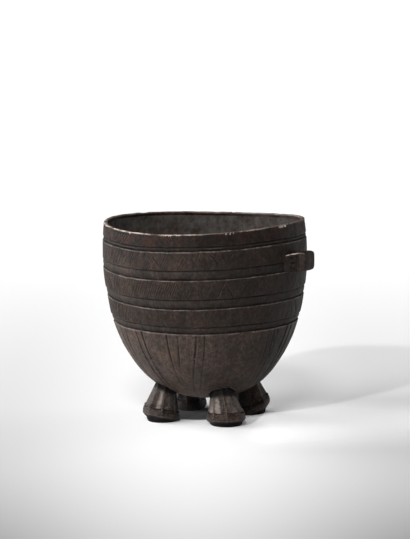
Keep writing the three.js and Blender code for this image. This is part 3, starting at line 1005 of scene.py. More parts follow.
def chipped(angle, radius, heights, lip_in):
    """Lowers the lip where it is chipped or nicked, and ripples it a little all round. Gives the new heights
    and how freshly broken each point is."""
    ripple = LIP_RIPPLE_DEPTH * LIP_RIPPLE(angle, heights * 0)
    limit = RIM_HEIGHT + ripple
    across = np.clip((radius - lip_in) / LIP_THICKNESS, 0, 1)
    marks = list(LIP_CHIPS)
    draw = np.random.default_rng(9)
    for at in np.arange(NICKS_FROM, NICKS_TO, NICK_STEP):
        marks.append((at + draw.uniform(-0.3, 0.3), NICK_HALF, NICK_DEPTH * draw.uniform(0.5, 1.3), 0.7))
    for at, half, deep, share in marks:
        off = turned_from(angle, at)
        u = np.clip(np.abs(off) * WIDEST_RADIUS / half, 0, 1)
        shape = (1 - u**2.5) * (0.8 + 0.2 * np.cos(off * WIDEST_RADIUS * 2.1))
        reach = np.clip((across - (1 - share)) / share, 0, 1) ** 0.7
        limit = limit - deep * shape * reach
    whole = heights < RIM_HEIGHT - DAMAGE_REACH
    edge = np.where(heights > RIM_HEIGHT - LIP_EDGE, limit - (RIM_HEIGHT - heights), heights)
    lowered = np.minimum(np.minimum(heights + ripple, edge), limit)
    lowered = np.where(whole, heights, lowered)
    lost = heights + ripple - lowered
    return lowered, np.clip((lost - 0.3) / 0.5, 0, 1) * ~whole


CUP_COLUMNS, CUP_SPACING = 840, 1.2
CUP_CURVE_TOP = 60.0  # up to here the lower bowl's rows follow its curve, and above it its height
FOOT_GROOVE_WIDTH, FOOT_GROOVE_DEPTH = 3.6, 1.6


class FOODBOWL_OT_cup(bpy.types.Operator):
    """Carve the lower bowl with its tapering strips and the grooves round the feet"""

    bl_idname = "food_bowl.cup"
    bl_label = "Lower Bowl"

    def execute(self, context):
        sizes = context.scene.food_bowl_sizes
        top = seam_heights()[0]
        radius, z = belly_curve(WIDEST_RADIUS, BELLY_BOTTOM, CUP_CURVE_TOP, 60, 1.1)
        upper = wall_heights(CUP_CURVE_TOP, top, CUP_SPACING)[1:]
        cut_in, tints = channels_between(upper, (top,), sizes)
        radius = np.concatenate([radius[1:], wall_radius(upper)])
        z = np.concatenate([z[1:], upper])
        back_r, back_z = belly_curve(WIDEST_RADIUS - HIDDEN, BELLY_BOTTOM + HIDDEN, top, 10)
        radius = np.concatenate([radius, back_r[:0:-1]])
        heights = np.concatenate([z, back_z[:0:-1]])
        weight = np.concatenate([np.ones(len(z)), np.zeros(len(back_r) - 1)])
        first, rest = len(z) - len(upper), len(heights) - len(z)
        depth = np.concatenate([np.zeros(first), cut_in, np.zeros(rest)])
        points = ring_points(CUP_COLUMNS, radius, heights, weight, depth)
        tints = extended(tints, first, rest)
        poles = (on_axis(BELLY_BOTTOM), on_axis(BELLY_BOTTOM + HIDDEN))
        mesh = grid_mesh("lower_bowl", points, poles=poles, tints=tints, strips=3)
        drawing = Drawing()
        tapering_strips(drawing, sizes)
        for foot in FEET:
            drawing.stroke(foot_seam(foot), FOOT_GROOVE_WIDTH, FOOT_GROOVE_DEPTH)
        scratches(drawing, 55, CHANNELS[0][0] - 2, 18, seed=81)
        finish = finish_of("Lower Wood")
        carve("lower_bowl", mesh, drawing, finish, "bowl", "bowl_wood", Reach=4, Shoulder=0.24)
        return {"FINISHED"}


STRIP_LINE_WIDTH = 2.9
# The strips on the front: degrees from the front of the left and right line at the top, the same at the
# bottom, the height of the bottom, and how fresh the left and the right line are
FRONT_STRIPS = (
    (-48.6, -43.6, -46.5, -41.8, 40, 0.8, 1.7),
    (-24.9, -17.9, -24.2, -23.0, 36, 1.1, 0.7),
    (-6.2, -1.0, -14.6, -7.2, 33, 1.15, 0.95),
    (16.5, 23.3, 14.0, 21.5, 36, 0.25, 0.5),
    (41.8, 46.5, 43.5, 48.0, 38, 0.7, 1.3),
    (60.0, 66.0, 58.0, 62.0, 38, 1.0, 1.1),
)
# On the back the strips follow at even steps. These many places are taken by the front's, before and after.
FRONT_TAKES, FRONT_TAKES_LAST, STRIPS_START = 4, 2, -2.5


def tapering_strips(drawing, sizes):
    """Pairs of lines that run down the lower bowl and draw together, some with a ladder of short ticks."""
    draw = np.random.default_rng(17)
    step = 360 / sizes.strips
    strips = list(FRONT_STRIPS)
    for k in range(FRONT_TAKES, sizes.strips - FRONT_TAKES_LAST):
        middle = STRIPS_START + step * k + draw.normal(0, 0.8)
        wide, narrow = draw.uniform(2.9, 3.7), draw.uniform(1.2, 2.6)
        turned = middle + draw.uniform(-4, 4)
        fresh = draw.uniform(0.6, 1.3)
        strips.append((middle - wide, middle + wide, turned - narrow, turned + narrow,
                       draw.uniform(31, 40), fresh, fresh * draw.uniform(0.6, 1.1)))
    top = CHANNELS[0][0] - 1.0
    for k, (left, right, left_end, right_end, bottom, *fresh) in enumerate(strips):
        z = np.linspace(top, bottom, 30)
        share = (top - z) / (top - bottom)
        bend = draw.normal(0, 0.5, 2)
        lines = []
        for start, end, bow, depth in zip((left, right), (left_end, right_end), bend, fresh):
            angle = FRONT + np.radians(start + (end - start) * share**1.4 + bow * np.sin(pi * share))
            fading = np.clip(1.25 - 0.75 * share, 0, 1)
            deepest = sizes.strip_depth / MM * depth
            kept = [deepest * f * rubbed_at(a, h, least=0.7) for a, h, f in zip(angle, z, fading)]
            drawing.stroke(on_wall(angle, z), STRIP_LINE_WIDTH, kept)
            lines.append(angle)
        if k % 6 == 4:
            tick_ladder(drawing, z, lines[1], draw)


def tick_ladder(drawing, z, line, draw):
    """Short ticks down the side of a strip's line."""
    for at in np.arange(z[0] - 1.5, z[-1] + 12, -2.6):
        start = np.interp(-at, -z, line)
        angle = np.linspace(start + radians(0.3), start + radians(3.4), 4)
        heights = np.linspace(at, at + 1.1, 4)
        drawing.stroke(on_wall(angle, heights), 1.2, 0.5 * draw.uniform(0.6, 1.1))


INSIDE_COLUMNS, INSIDE_SHELL = 800, 1.4  # points round the inside, and the thickness of its skin


class FOODBOWL_OT_inside(bpy.types.Operator):
    """Hollow the bowl: its inside, rough from the gouge and dull with age"""

    bl_idname = "food_bowl.inside"
    bl_label = "Inside"

    def execute(self, context):
        radius, z = inside_curve(INSIDE_SEAM, 80)
        back_r, back_z = belly_curve(
            INSIDE_RADIUS + INSIDE_SHELL, INSIDE_BOTTOM - INSIDE_SHELL, INSIDE_WIDEST_HEIGHT, 14)
        back_r, back_z = np.append(back_r, radius[-1] + INSIDE_SHELL), np.append(back_z, INSIDE_SEAM)
        all_r = np.concatenate([back_r[1:], radius[:0:-1]])
        heights, angle = grid_round(np.concatenate([back_z[1:], z[:0:-1]]), INSIDE_COLUMNS)
        seen_rows = np.concatenate([np.zeros(len(back_r) - 1), np.ones(len(radius) - 1)])[:, None]
        uneven = inside_unevenness(angle, heights) * seen_rows
        points = hand_made(angle, all_r[:, None], heights, uneven)
        calm = np.concatenate([np.ones(len(back_r) - 1), calm_seams(z[:0:-1], (INSIDE_SEAM,), 6)])
        poles = (on_axis(back_z[0]), on_axis(z[0]))
        mesh = grid_mesh("bowl_inside", points, poles=poles, tints={"calm": calm}, strips=2)
        drawing = Drawing()

        def inner_radius(at):
            return np.interp(at, z, radius)

        scratches(drawing, 60, 180, 60, seed=91, radius=inner_radius, lift=inside_unevenness)
        carve("bowl_inside", mesh, drawing, finish_of("Inside Wood"), "bowl", "bowl_wood", Reach=4)
        return {"FINISHED"}


# A foot from the middle of its sole upwards: how far its ring's centre lies outwards of the foot's own,
# height, radius, share of the edge's rise, and how much of the eight-sided shape shows. A step is a place
# along these points: 9.5 is in the stop cut above the edge, and the long facets run from 12 to 13.
FOOT_PROFILE = (
    (-0.9, 0.0, 0.0, 0.0, 0.0), (-0.9, 0.0, 14.6, 0.0, 0.1), (-0.9, 0.5, 15.2, 0.1, 0.15),
    (-0.8, 1.9, 15.8, 0.5, 0.2), (-0.5, 2.6, 16.8, 0.8, 0.3), (-0.3, 3.3, 18.0, 0.95, 0.4),
    (0.0, 5.0, 18.9, 1.0, 0.45), (0.0, 8.6, 18.6, 1.0, 0.5), (0.0, 11.2, 17.8, 1.0, 0.55),
    (0.0, 12.0, 16.9, 1.0, 0.7), (0.0, 12.7, 16.9, 1.0, 0.9), (-0.4, 14.0, 16.5, 0.95, 1.0),
    (-1.0, 15.8, 15.9, 0.85, 1.0), (-5.4, 42.0, 8.8, 0.0, 1.0),
)
FOOT_HEIGHT = FOOT_PROFILE[-1][1]
STOP_CUT, LONG_FACETS = 9.5, 12
FOOT_SIDES, FACET_COLUMNS = 8, 24
FOOT_COLUMNS = FOOT_SIDES * FACET_COLUMNS
# For each column of a foot: the number of its facet, and how far across that facet it lies, from 0 to 1
FACET_OF = np.arange(FOOT_COLUMNS) // FACET_COLUMNS
ACROSS_FACET = (np.arange(FOOT_COLUMNS) % FACET_COLUMNS) / FACET_COLUMNS


def bowl_depth(places):
    """How far points in millimetres lie inside the plain bowl, counted upwards from its underside."""
    lean = lean_at(places[..., 2])
    x = places[..., 0] - AXIS_X - lean * cos(LEAN_AZIMUTH)
    y = places[..., 1] - lean * sin(LEAN_AZIMUTH)
    out = np.clip(np.hypot(x, y) / WIDEST_RADIUS, 0, 0.999)
    underside = WIDEST_HEIGHT - (WIDEST_HEIGHT - BELLY_BOTTOM) * (1 - out**ROUND_OUT) ** (1 / ROUND_DOWN)
    return places[..., 2] - underside


def step_rows(steps):
    """Rows of steps along the foot's profile that are the same in every column."""
    return np.repeat(steps[:, None], FOOT_COLUMNS, axis=1)


def foot_points(foot, steps, hollow_depth=0.0):
    """Rows of points up a foot, at these steps along its profile, which may differ from column to column.
    The facets are hollow by the depth given. Their corners, and so the edge, are a little uneven."""
    _, azimuth, reach, size, sway, rise, lift, seed = foot
    draw = np.random.default_rng(seed)
    table = np.array(FOOT_PROFILE)
    knots = np.arange(len(table))
    out, height, radius, slope, faceted = (np.interp(steps, knots, table[:, k]) for k in range(5))

    turns = (np.arange(FOOT_SIDES) + 0.5 + draw.uniform(-0.09, 0.09, FOOT_SIDES)) * 2 * pi / FOOT_SIDES
    lengths = 1 + draw.uniform(-0.035, 0.035, FOOT_SIDES)
    corners = np.stack([lengths * np.cos(turns), lengths * np.sin(turns)], axis=-1)
    t = ACROSS_FACET
    onward = corners[(FACET_OF + 1) % FOOT_SIDES]
    flat = corners[FACET_OF] * (1 - t)[:, None] + onward * t[:, None]
    rounded = flat / np.linalg.norm(flat, axis=1)[:, None]
    scoop = 4 * t * (1 - t)
    cut_in = np.clip((steps - 9.6) / 1.6, 0, 1) * np.clip((13.2 - steps) / 0.9, 0, 1)
    share = faceted[..., None]
    shape = flat[None] * share + (0.985 * rounded)[None] * (1 - share)
    inward = hollow_depth * draw.uniform(0.6, 1.4, FOOT_SIDES)[FACET_OF]
    ring = radius[..., None] * shape - (inward * scoop)[None, :, None] * cut_in[..., None] * rounded[None]
    ring = ring * size
    arch = 1.5 * (2 * t - 1) ** 2 * np.clip(1 - np.abs(steps - 10) / 2.5, 0, 1)
    wander = 0.5 * np.cos(3 * turns[FACET_OF] + seed) * np.clip(1 - np.abs(steps - 9) / 3, 0, 1)
    x = reach + out + ring[..., 0]
    y = ring[..., 1] + sway * height / FOOT_HEIGHT
    z = height + slope * (rise * ring[..., 0] + lift) + arch + wander
    z = np.maximum(z, 0)
    turn = radians(azimuth)
    return np.stack([AXIS_X + x * cos(turn) - y * sin(turn), x * sin(turn) + y * cos(turn), z], axis=-1)


def foot_top(foot, inside=1.2):
    """For each column of a foot, the step of its profile at which it is this far inside the bowl."""
    last = len(FOOT_PROFILE) - 1
    tries = np.linspace(last - 1, last, 220)
    grid = foot_points(foot, step_rows(tries))
    deep = bowl_depth(grid) >= inside
    return tries[np.where(deep.any(axis=0), deep.argmax(axis=0), len(tries) - 1)]


def foot_seam(foot):
    """The line on the bowl's underside where a foot meets it, as a closed chain of points."""
    steps = foot_top(foot, inside=0.0)
    places = foot_points(foot, steps[None, :])[0, ::4]
    return np.vstack([places, places[:1]])


class FOODBOWL_OT_feet(bpy.types.Operator):
    """Shape the four flared, faceted feet"""

    bl_idname = "food_bowl.feet"
    bl_label = "Feet"

    def execute(self, context):
        hollow_depth = context.scene.food_bowl_sizes.facet_hollow / MM
        sole, edge = np.linspace(0.12, 1, 6), np.arange(1.25, 8.01, 0.25)
        fixed = np.concatenate([sole, edge, np.arange(8.12, LONG_FACETS + 0.01, 0.125)])
        for foot in FEET:
            node, tops = foot[0], foot_top(foot)
            name = node + "_carved"
            upper = LONG_FACETS + (tops[None, :] - LONG_FACETS) * np.linspace(0, 1, 42)[1:, None]
            steps = np.concatenate([step_rows(fixed), upper])
            points = foot_points(foot, steps, hollow_depth)
            bottom = foot_points(foot, step_rows(np.zeros(1)))[0].mean(axis=0)[None]
            top = points[-1].mean(axis=0)[None] + [0, 0, 1.0]
            mesh = grid_mesh(name, points, poles=(bottom, top), tints=foot_tints(foot, steps, tops))
            drawing = Drawing()
            foot_cuts(drawing, foot, hollow_depth)
            foot_cracks(drawing, foot, hollow_depth)
            finish = finish_of("Foot Wood")
            carve(name, mesh, drawing, finish, node, "foot_wood", Reach=6, Tremble=0.12 * MM)
        return {"FINISHED"}


# Facets rubbed pale and painted with highlights: how much, where across the facet from 0 to 1, and how widely
RUBBED_AND_HIGHLIT_FACETS = {
    "foot_front_left": {7: (0.3, 0.5, 0.5), 0: (2.0, 0.66, 0.18), 1: (0.35, 0.3, 0.3)},
    "foot_front_right": {5: (1.3, 0.5, 0.5), 6: (2.0, 0.32, 0.22), 7: (1.3, 0.4, 0.5), 0: (0.6, 0.5, 0.4)},
    "foot_rear_right": {5: (0.3, 0.8, 0.3), 0: (0.9, 0.5, 0.4)},
    "foot_rear_left": {6: (1.2, 0.4, 0.3), 0: (0.5, 0.6, 0.4)},
}
# How far up each foot the painted shade of the junction under the bowl begins: 0 is the foot of the long
# facets, 1 the bowl
JUNCTION_SHADE_FROM = {
    "foot_front_left": 0.66, "foot_front_right": 0.56, "foot_rear_right": 0.66, "foot_rear_left": 0.66}


def foot_tints(foot, steps, tops):
    """Facets rubbed pale with painted highlights, or dusty, each in its own way. The undercut below a foot's
    edge, the junction above it under the bowl and its inner side are painted black as shade."""
    draw = np.random.default_rng(200 + foot[-1])
    facet = growing(steps, 9.7, 0.3)
    dusty = draw.permutation(np.linspace(-0.4, 1, FOOT_SIDES))
    across = np.zeros(FOOT_COLUMNS)
    # Painted highlights, with wear, on the listed facets
    for number, (strength, centre, width) in RUBBED_AND_HIGHLIT_FACETS[foot[0]].items():
        here = FACET_OF == number
        across[here] = strength * np.clip(1.4 - np.abs(ACROSS_FACET[here] - centre) / width, 0, 1)
    lower_end = np.clip(1.6 - np.abs(steps - 10.9) / 1.3, 0.15, 1)
    edge = np.clip(1 - np.abs(steps - 6.6) / 0.8, 0, 1) * 0.2
    # Painted shade: the undercut below the edge and the junction under the bowl are black.
    below = np.clip((5.2 - steps) / 0.4, 0, 1)
    up = (steps - LONG_FACETS) / (tops[None, :] - LONG_FACETS)
    above = growing(up, JUNCTION_SHADE_FROM[foot[0]], 0.2)
    # Painted shade on the inner side of each foot, facing the bowl's axis.
    turn = (FACET_OF + ACROSS_FACET + 0.5) * 2 * pi / FOOT_SIDES
    inner = 0.85 * np.clip(-0.1 - 1.3 * np.cos(turn), 0, 1)
    return {
        "shade_and_grime": np.maximum(1.9 * np.maximum(below, above), inner),
        "calm": above,
        "rub_and_highlight": across * facet * lower_end + edge * (1 - inner),
        "hollow": np.clip(dusty, 0, 1)[FACET_OF] * facet,
    }


def foot_cuts(drawing, foot, hollow_depth):
    """The stop cut above the foot's edge, and the lines where some of the facets meet."""
    draw = np.random.default_rng(300 + foot[-1])
    for side in range(FOOT_SIDES):
        first = side * FACET_COLUMNS
        start = first + int(draw.integers(0, 3))
        end = first + FACET_COLUMNS - int(draw.integers(0, 3))
        columns = np.arange(start, end + 1, 3) % FOOT_COLUMNS
        steps = step_rows(np.array([STOP_CUT + draw.uniform(-0.15, 0.25)]))
        drawing.stroke(foot_points(foot, steps, hollow_depth)[0, columns], 1.5, draw.uniform(0.35, 0.7))
        low, high = draw.uniform(9.6, 11), draw.uniform(12.2, 12.9)
        grid = foot_points(foot, step_rows(np.linspace(low, high, 9)), hollow_depth)
        drawing.stroke(grid[:, first], 1.1, draw.uniform(0.0, 0.5))


def foot_cracks(drawing, foot, hollow_depth):
    """Short drying cracks and knife slips on the facets of a foot."""
    draw = np.random.default_rng(100 + foot[-1])
    for _ in range(9):
        column = int(draw.integers(0, FOOT_COLUMNS))
        low, high = sorted(draw.uniform(10.8, 12.6, 2))
        grid = foot_points(foot, step_rows(np.linspace(low, min(high, low + 0.9), 8)), hollow_depth)
        slant = draw.normal(0, 3)
        columns = (column + np.rint(np.linspace(0, slant, 8))).astype(int) % FOOT_COLUMNS
        drawing.stroke(grid[np.arange(8), columns], draw.uniform(0.5, 0.9), draw.uniform(0.2, 0.45))


# The lug from inside the wall outwards: distance from the bowl's axis, half its width, underside and top
LUG_PROFILE = (
    (98.6, 13.9, 155.2, 173.4), (101.4, 13.7, 155.4, 173.5), (102.6, 12.9, 155.6, 173.7),
    (103.6, 11.4, 155.8, 174.0), (104.8, 9.9, 155.9, 174.4), (106.4, 8.7, 156.0, 174.9),
    (108.5, 8.1, 156.1, 175.3), (111.4, 8.0, 156.4, 175.9), (112.9, 8.3, 156.5, 176.2),
    (113.6, 9.4, 156.6, 176.4), (114.4, 10.0, 156.7, 176.5), (117.5, 10.2, 157.1, 176.9),
    (120.0, 10.0, 157.7, 176.8), (121.4, 9.6, 158.3, 176.4), (122.3, 8.9, 159.2, 175.5),
    (122.8, 7.6, 160.6, 174.1), (123.05, 5.6, 162.6, 172.2), (LUG_REACH, 3.0, 164.8, 170.0),
)
# The bent pits in each side of the neck: each one's distance from the axis and height, and the shape, width
# and depth of all
LUG_PITS = ((107.4, 169.3), (108.2, 164.2), (107.8, 159.2))
PIT_SHAPE = ((-1.0, 0.7), (0, -0.3), (1.1, 0.5))
PIT_WIDTH, PIT_DEPTH = 3.2, 1.3


def lug_side(side, out, level):
    """Places on a side of the lug, -1 or 1, at these distances from the bowl's axis and heights."""
    table = np.array(LUG_PROFILE)
    half = np.interp(out, table[:, 0], table[:, 1])
    return np.stack([out + AXIS_X, side * half, level], axis=-1)


def lug_cuts(drawing):
    """The pits at the neck and a few scratches on each side of the lug."""
    draw = np.random.default_rng(6)
    for side in (-1, 1):
        for pit in LUG_PITS:
            bent = np.array(PIT_SHAPE) + pit
            drawing.stroke(lug_side(side, bent[:, 0], bent[:, 1]), PIT_WIDTH, PIT_DEPTH)
        for _ in range(7):
            at, level = draw.uniform(104, 120), draw.uniform(158, 174)
            length = draw.uniform(2, 7)
            out = at + np.linspace(0, length, 5) * draw.normal(0.2, 0.5)
            levels = level + np.linspace(0, length, 5) * draw.normal(0.6, 0.4)
            places = lug_side(side, out, np.clip(levels, 157, 176))
            drawing.stroke(places, draw.uniform(0.5, 0.8), draw.uniform(0.1, 0.3))


def lug_tints(steps, across, upward):
    """The lug's top edges are rubbed pale and painted with a highlight, the sides of its neck darkened with
    dirt and painted shade, and its end dull with dust and darker.
    """
    # Wear and a painted highlight along the top edges
    top_edge = np.clip((np.abs(across) - 0.86) / 0.06, 0, 1) * np.clip((upward - 0.8) / 0.08, 0, 1)
    along = np.interp(steps, (1, 2, 8, 10, 12, 14), (0.6, 1.6, 1.6, 0.5, 0.3, 0))[:, None]
    end = np.interp(steps, (11.5, 13.5), (0, 1))[:, None]
    # Painted shade, with dirt, on the sides of the neck about the pits
    sides = np.clip((np.abs(across) - 0.85) / 0.1, 0, 1) * np.clip((0.8 - upward) / 0.2, 0, 1)
    pitted = np.interp(steps, (3.5, 5, 8, 8.8), (0, 1, 1, 0))[:, None] * sides[None]
    return {"rub_and_highlight": along * top_edge[None], "hollow": end, "shade_and_grime": np.maximum(0.6 * pitted, 0.3 * end)}


def rounded_square(count, power):
    """Points evenly spaced round a square with rounded corners that reaches 1 each way, anticlockwise."""
    a = np.linspace(0, 2 * pi, 20001)
    x = np.sign(np.cos(a)) * np.abs(np.cos(a)) ** power
    y = np.sign(np.sin(a)) * np.abs(np.sin(a)) ** power
    length = np.concatenate([[0], np.cumsum(np.hypot(np.diff(x), np.diff(y)))])
    even = np.linspace(0, length[-1], count, endpoint=False)
    return np.interp(even, length, x), np.interp(even, length, y)


class FOODBOWL_OT_lug(bpy.types.Operator):
    """Shape the lug handle with its neck, pits and rounded head"""

    bl_idname = "food_bowl.lug"
    bl_label = "Lug Handle"

    def execute(self, context):
        table = np.array(LUG_PROFILE)
        knots = np.arange(len(table))
        steps = np.concatenate([np.arange(0, 15, 0.2), np.arange(15, len(table) - 0.95, 0.25)])
        out, half, low, high = (np.interp(steps, knots, table[:, k]) for k in range(4))
        across, upward = rounded_square(240, 0.33)
        y = half[:, None] * across[None]
        z = (low + high)[:, None] / 2 + (high - low)[:, None] / 2 * upward[None]
        x = out[:, None] + 0 * y
        points = np.stack([x + AXIS_X, y, z], axis=-1)
        first = points[0].mean(axis=0)[None]
        last = points[-1].mean(axis=0)[None] + [0.1, 0, 0]
        tints = lug_tints(steps, across, upward)
        mesh = grid_mesh("lug_handle_carved", points, poles=(first, last), tints=tints)
        drawing = Drawing()
        lug_cuts(drawing)
        carve("lug_handle_carved", mesh, drawing, finish_of("Lug Wood"), "lug_handle", "lug_wood", Reach=5,
              Tremble=0.14 * MM)
        return {"FINISHED"}


class FOODBOWL_OT_stage(bpy.types.Operator):
    """Set the camera, the lamps and the pale floor"""

    bl_idname = "food_bowl.stage"
    bl_label = "Stage"

    def execute(self, context):
        scene = context.scene
        scene.view_settings.view_transform = "Standard"
        place_camera(scene)
        for name, left, elevation, spread, strength in LAMPS:
            lamp(name, radians(left), radians(elevation), radians(spread), strength)
        scene.world = soft_world()
        pale_floor(scene.food_bowl_colours)
        return {"FINISHED"}


# The photograph's camera: metres from the bowl's axis and above the floor, how far it looks down, its lens
CAMERA_DISTANCE, CAMERA_HEIGHT, CAMERA_PITCH, LENS = 2.3, 0.4523, radians(7.485), 153.74


def place_camera(scene):
    data = bpy.data.cameras.new("photo_camera")
    data.lens, data.sensor_width = LENS, 36
    data.clip_end = 200
    camera = bpy.data.objects.new("photo_camera", data)
    scene.collection.objects.link(camera)
    x = AXIS_X * MM + CAMERA_DISTANCE * cos(FRONT)
    camera.location = (x, CAMERA_DISTANCE * sin(FRONT), CAMERA_HEIGHT)
    camera.rotation_euler = (pi / 2 - CAMERA_PITCH, 0, FRONT + pi / 2)
    scene.camera = camera


# Lamps as suns, so that the wide floor is lit evenly: name, degrees to the left of the camera, degrees above
# the floor, apparent width in degrees, and strength
LAMPS = (
    ("front_lamp", 31, 26.5, 3, 1.3),
    ("camera_lamp", 8, 41, 12, 0.95),
    ("side_lamp", 76, 32, 44, 1.6),
    ("low_lamp", 86, 6, 30, 0.9),
    ("back_left_lamp", 118, 24, 40, 2.1),
    ("top_lamp", 60, 80, 70, 0.15),
    ("right_lamp", -118, 22, 30, 0.5),
)
FLOOR_GLOW = 0.03  # white that the floor adds to what the camera sees
# The floor's painted fall-off of light, in metres from the bowl's axis: how far in front of the bowl it has
# darkened by how much, how far to either side of a line a little left of the axis, and where beyond it grows
# light again
NEAR_REACH, NEAR_LOSS = 0.55, 0.36
SIDE_REACH, SIDE_LOSS, SIDE_MIDDLE = 0.22, 0.36, -0.012
LIGHT_AGAIN = (0.65, 1.2)
# Painted light on the floor beside the right feet, and a painted shadow under the belly
PAINTED_POOL_LIFT, PAINTED_BELLY_SHADOW = 0.7, 0.92  # what the floor gains beside the feet and loses under the belly


def lamp(name, left, rise, spread, strength):
    data = bpy.data.lights.new(name, "SUN")
    data.angle, data.energy = spread, strength
    light = bpy.data.objects.new(name, data)
    bpy.context.scene.collection.objects.link(light)
    azimuth = FRONT - left
    towards = Vector((cos(azimuth) * cos(rise), sin(azimuth) * cos(rise), sin(rise)))
    light.location = towards
    light.rotation_euler = (-towards).to_track_quat("-Z", "Y").to_euler()
    return light


def soft_world():
    """Even dim light from all round, with a white background where the camera sees past the floor."""
    world = bpy.data.worlds.new("studio")
    world.use_nodes = True
    tree = world.node_tree
    tree.nodes.clear()
    n = Nodes(tree)
    sees = n.add("ShaderNodeLightPath", output="Is Camera Ray")
    dim = n.add("ShaderNodeBackground", {"Color": (1, 1, 1, 1), "Strength": 0.03})
    white = n.add("ShaderNodeBackground", {"Color": (1, 1, 1, 1), "Strength": 1.0})
    both = n.add("ShaderNodeMixShader", {0: sees, 1: dim, 2: white})
    n.add("ShaderNodeOutputWorld", {"Surface": both}, output=None)
    return world


def painted_floor_light(n):
    """Painted light and shade on the floor: darker in front of the bowl and to either side, darkest under the
    belly with a painted shadow, and lighter beside the right feet with a painted pool of light."""
    place = n.add("ShaderNodeTexCoord", output="Object")
    axis = (AXIS_X * MM, 0, 0)
    from_bowl = n.add("ShaderNodeVectorMath", {0: place, 1: axis}, operation="SUBTRACT")
    nearer, across = n.dot(from_bowl, OUT_OF_FRONT), n.dot(from_bowl, ACROSS_FRONT)
    near = n.between(nearer, 0.0, NEAR_REACH)
    near_loss = n.product(near, near, NEAR_LOSS)
    aside = n.math("ABSOLUTE", n.math("SUBTRACT", across, SIDE_MIDDLE))
    side_loss = n.product(n.eased(aside, 0.0, SIDE_REACH), n.between(nearer, -1.3, 0.5, 0.0, SIDE_LOSS))
    beyond = n.between(nearer, *LIGHT_AGAIN, 1.0, 0.0)
    loss = n.math("MULTIPLY", n.math("ADD", near_loss, side_loss), beyond)
    fall = n.math("SUBTRACT", 1.0, loss)
    return n.product(fall, painted_light_pool(n, nearer, across), painted_shadow_under_belly(n, nearer, across))


def painted_light_pool(n, nearer, across):
    """A painted pool of light: the lighter strip of floor beside the right feet, in front of the bowl's cast
    shadow.
    """
    right = n.product(n.eased(across, 0.025, 0.07), n.between(across, 0.12, 0.5, 1.0, 0.0))
    strip = n.product(n.eased(nearer, -0.1, 0.02), n.eased(nearer, 0.03, 0.18, 1.0, 0.0), right)
    return n.math("ADD", 1.0, n.math("MULTIPLY", strip, PAINTED_POOL_LIFT))


def painted_shadow_under_belly(n, nearer, across):
    """A painted shadow: the dark patch of floor under the middle of the belly, a little behind and left of
    the axis.
    """
    back = n.math("ADD", nearer, 0.012)
    left = n.math("ADD", across, 0.008)
    squares = n.math("ADD", n.math("MULTIPLY", back, back), n.math("MULTIPLY", left, left))
    from_middle = n.math("SQRT", squares)
    return n.eased(from_middle, 0.029, 0.038, 1.0 - PAINTED_BELLY_SHADOW, 1.0)


# The floor disc: the radii of its rings in metres, and its sides
FLOOR_RINGS, FLOOR_SIDES = (0.5, 1.5, 4, 12, 45), 96


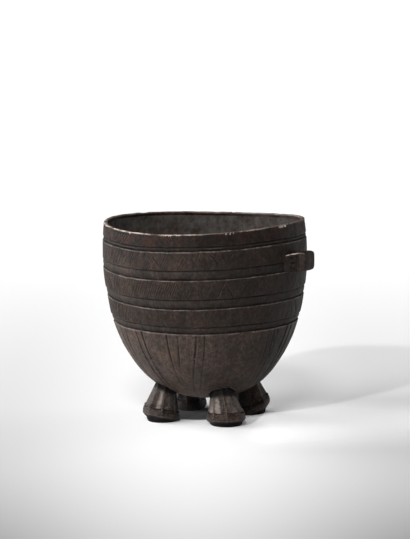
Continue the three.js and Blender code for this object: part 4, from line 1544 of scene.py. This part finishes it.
def pale_floor(colours):
    """A wide floor disc, level with the soles."""
    turns = [2 * pi * k / FLOOR_SIDES for k in range(FLOOR_SIDES)]
    points = [(0.0, 0.0, 0.0)]
    for radius in FLOOR_RINGS:
        points += [(radius * cos(turn), radius * sin(turn), 0.0) for turn in turns]
    faces = [(0, 1 + k, 1 + (k + 1) % FLOOR_SIDES) for k in range(FLOOR_SIDES)]
    for ring in range(len(FLOOR_RINGS) - 1):
        first = 1 + ring * FLOOR_SIDES
        for k in range(FLOOR_SIDES):
            a, b = first + k, first + (k + 1) % FLOOR_SIDES
            faces.append((a, a + FLOOR_SIDES, b + FLOOR_SIDES, b))
    mesh = bpy.data.meshes.new("floor")
    mesh.from_pydata(points, [], faces)
    floor = bpy.data.objects.new("floor", mesh)
    bpy.context.scene.collection.objects.link(floor)
    material = bpy.data.materials.new("Pale Floor")
    material.use_nodes = True
    tree = material.node_tree
    tree.nodes.clear()
    n = Nodes(tree)
    sees = n.add("ShaderNodeLightPath", output="Is Camera Ray")
    # The floor's tone is painted light and shade: a fall-off, a pool beside the right feet and a shadow under
    # the belly.
    tone = painted_floor_light(n)
    pale = n.add("ShaderNodeBsdfDiffuse", {"Color": n.scaled(tuple(colours.floor), tone)})
    dull = n.add("ShaderNodeBsdfDiffuse", {"Color": (*colours.bounce, 1)})
    glowing = n.math("MULTIPLY", tone, FLOOR_GLOW)
    glow = n.add("ShaderNodeEmission", {"Color": (1, 1, 1, 1), "Strength": glowing})
    seen_floor = n.add("ShaderNodeAddShader", {0: pale, 1: glow})
    both = n.add("ShaderNodeMixShader", {0: sees, 1: dull, 2: seen_floor})
    n.add("ShaderNodeOutputMaterial", {"Surface": both}, output=None)
    mesh.materials.append(material)


class FOODBOWL_PT_panel(bpy.types.Panel):
    """Lists the sizes, the colours and the steps of the bowl"""

    bl_label = "Food Bowl"
    bl_idname = "FOODBOWL_PT_panel"
    bl_space_type = "VIEW_3D"
    bl_region_type = "UI"
    bl_category = "Food Bowl"

    def draw(self, context):
        for group in (context.scene.food_bowl_sizes, context.scene.food_bowl_colours):
            box = self.layout.box()
            for key in group.bl_rna.properties.keys():
                if key not in ("rna_type", "name"):
                    box.prop(group, key)
        for step in STEPS:
            self.layout.operator(step.bl_idname)


STEPS = (
    FOODBOWL_OT_stage,
    FOODBOWL_OT_feet,
    FOODBOWL_OT_cup,
    FOODBOWL_OT_bands,
    FOODBOWL_OT_rim,
    FOODBOWL_OT_inside,
    FOODBOWL_OT_lug,
)
CLASSES = (FoodBowlSizes, FoodBowlColours, *STEPS, FOODBOWL_PT_panel)


def register():
    for each in CLASSES:
        bpy.utils.register_class(each)
    bpy.types.Scene.food_bowl_sizes = bpy.props.PointerProperty(type=FoodBowlSizes)
    bpy.types.Scene.food_bowl_colours = bpy.props.PointerProperty(type=FoodBowlColours)


def unregister():
    del bpy.types.Scene.food_bowl_colours
    del bpy.types.Scene.food_bowl_sizes
    for each in reversed(CLASSES):
        bpy.utils.unregister_class(each)


def main():
    register()
    bpy.ops.food_bowl.stage()
    bpy.ops.food_bowl.feet()
    bpy.ops.food_bowl.cup()
    bpy.ops.food_bowl.bands()
    bpy.ops.food_bowl.rim()
    bpy.ops.food_bowl.inside()
    bpy.ops.food_bowl.lug()


if __name__ == "__main__":
    main()
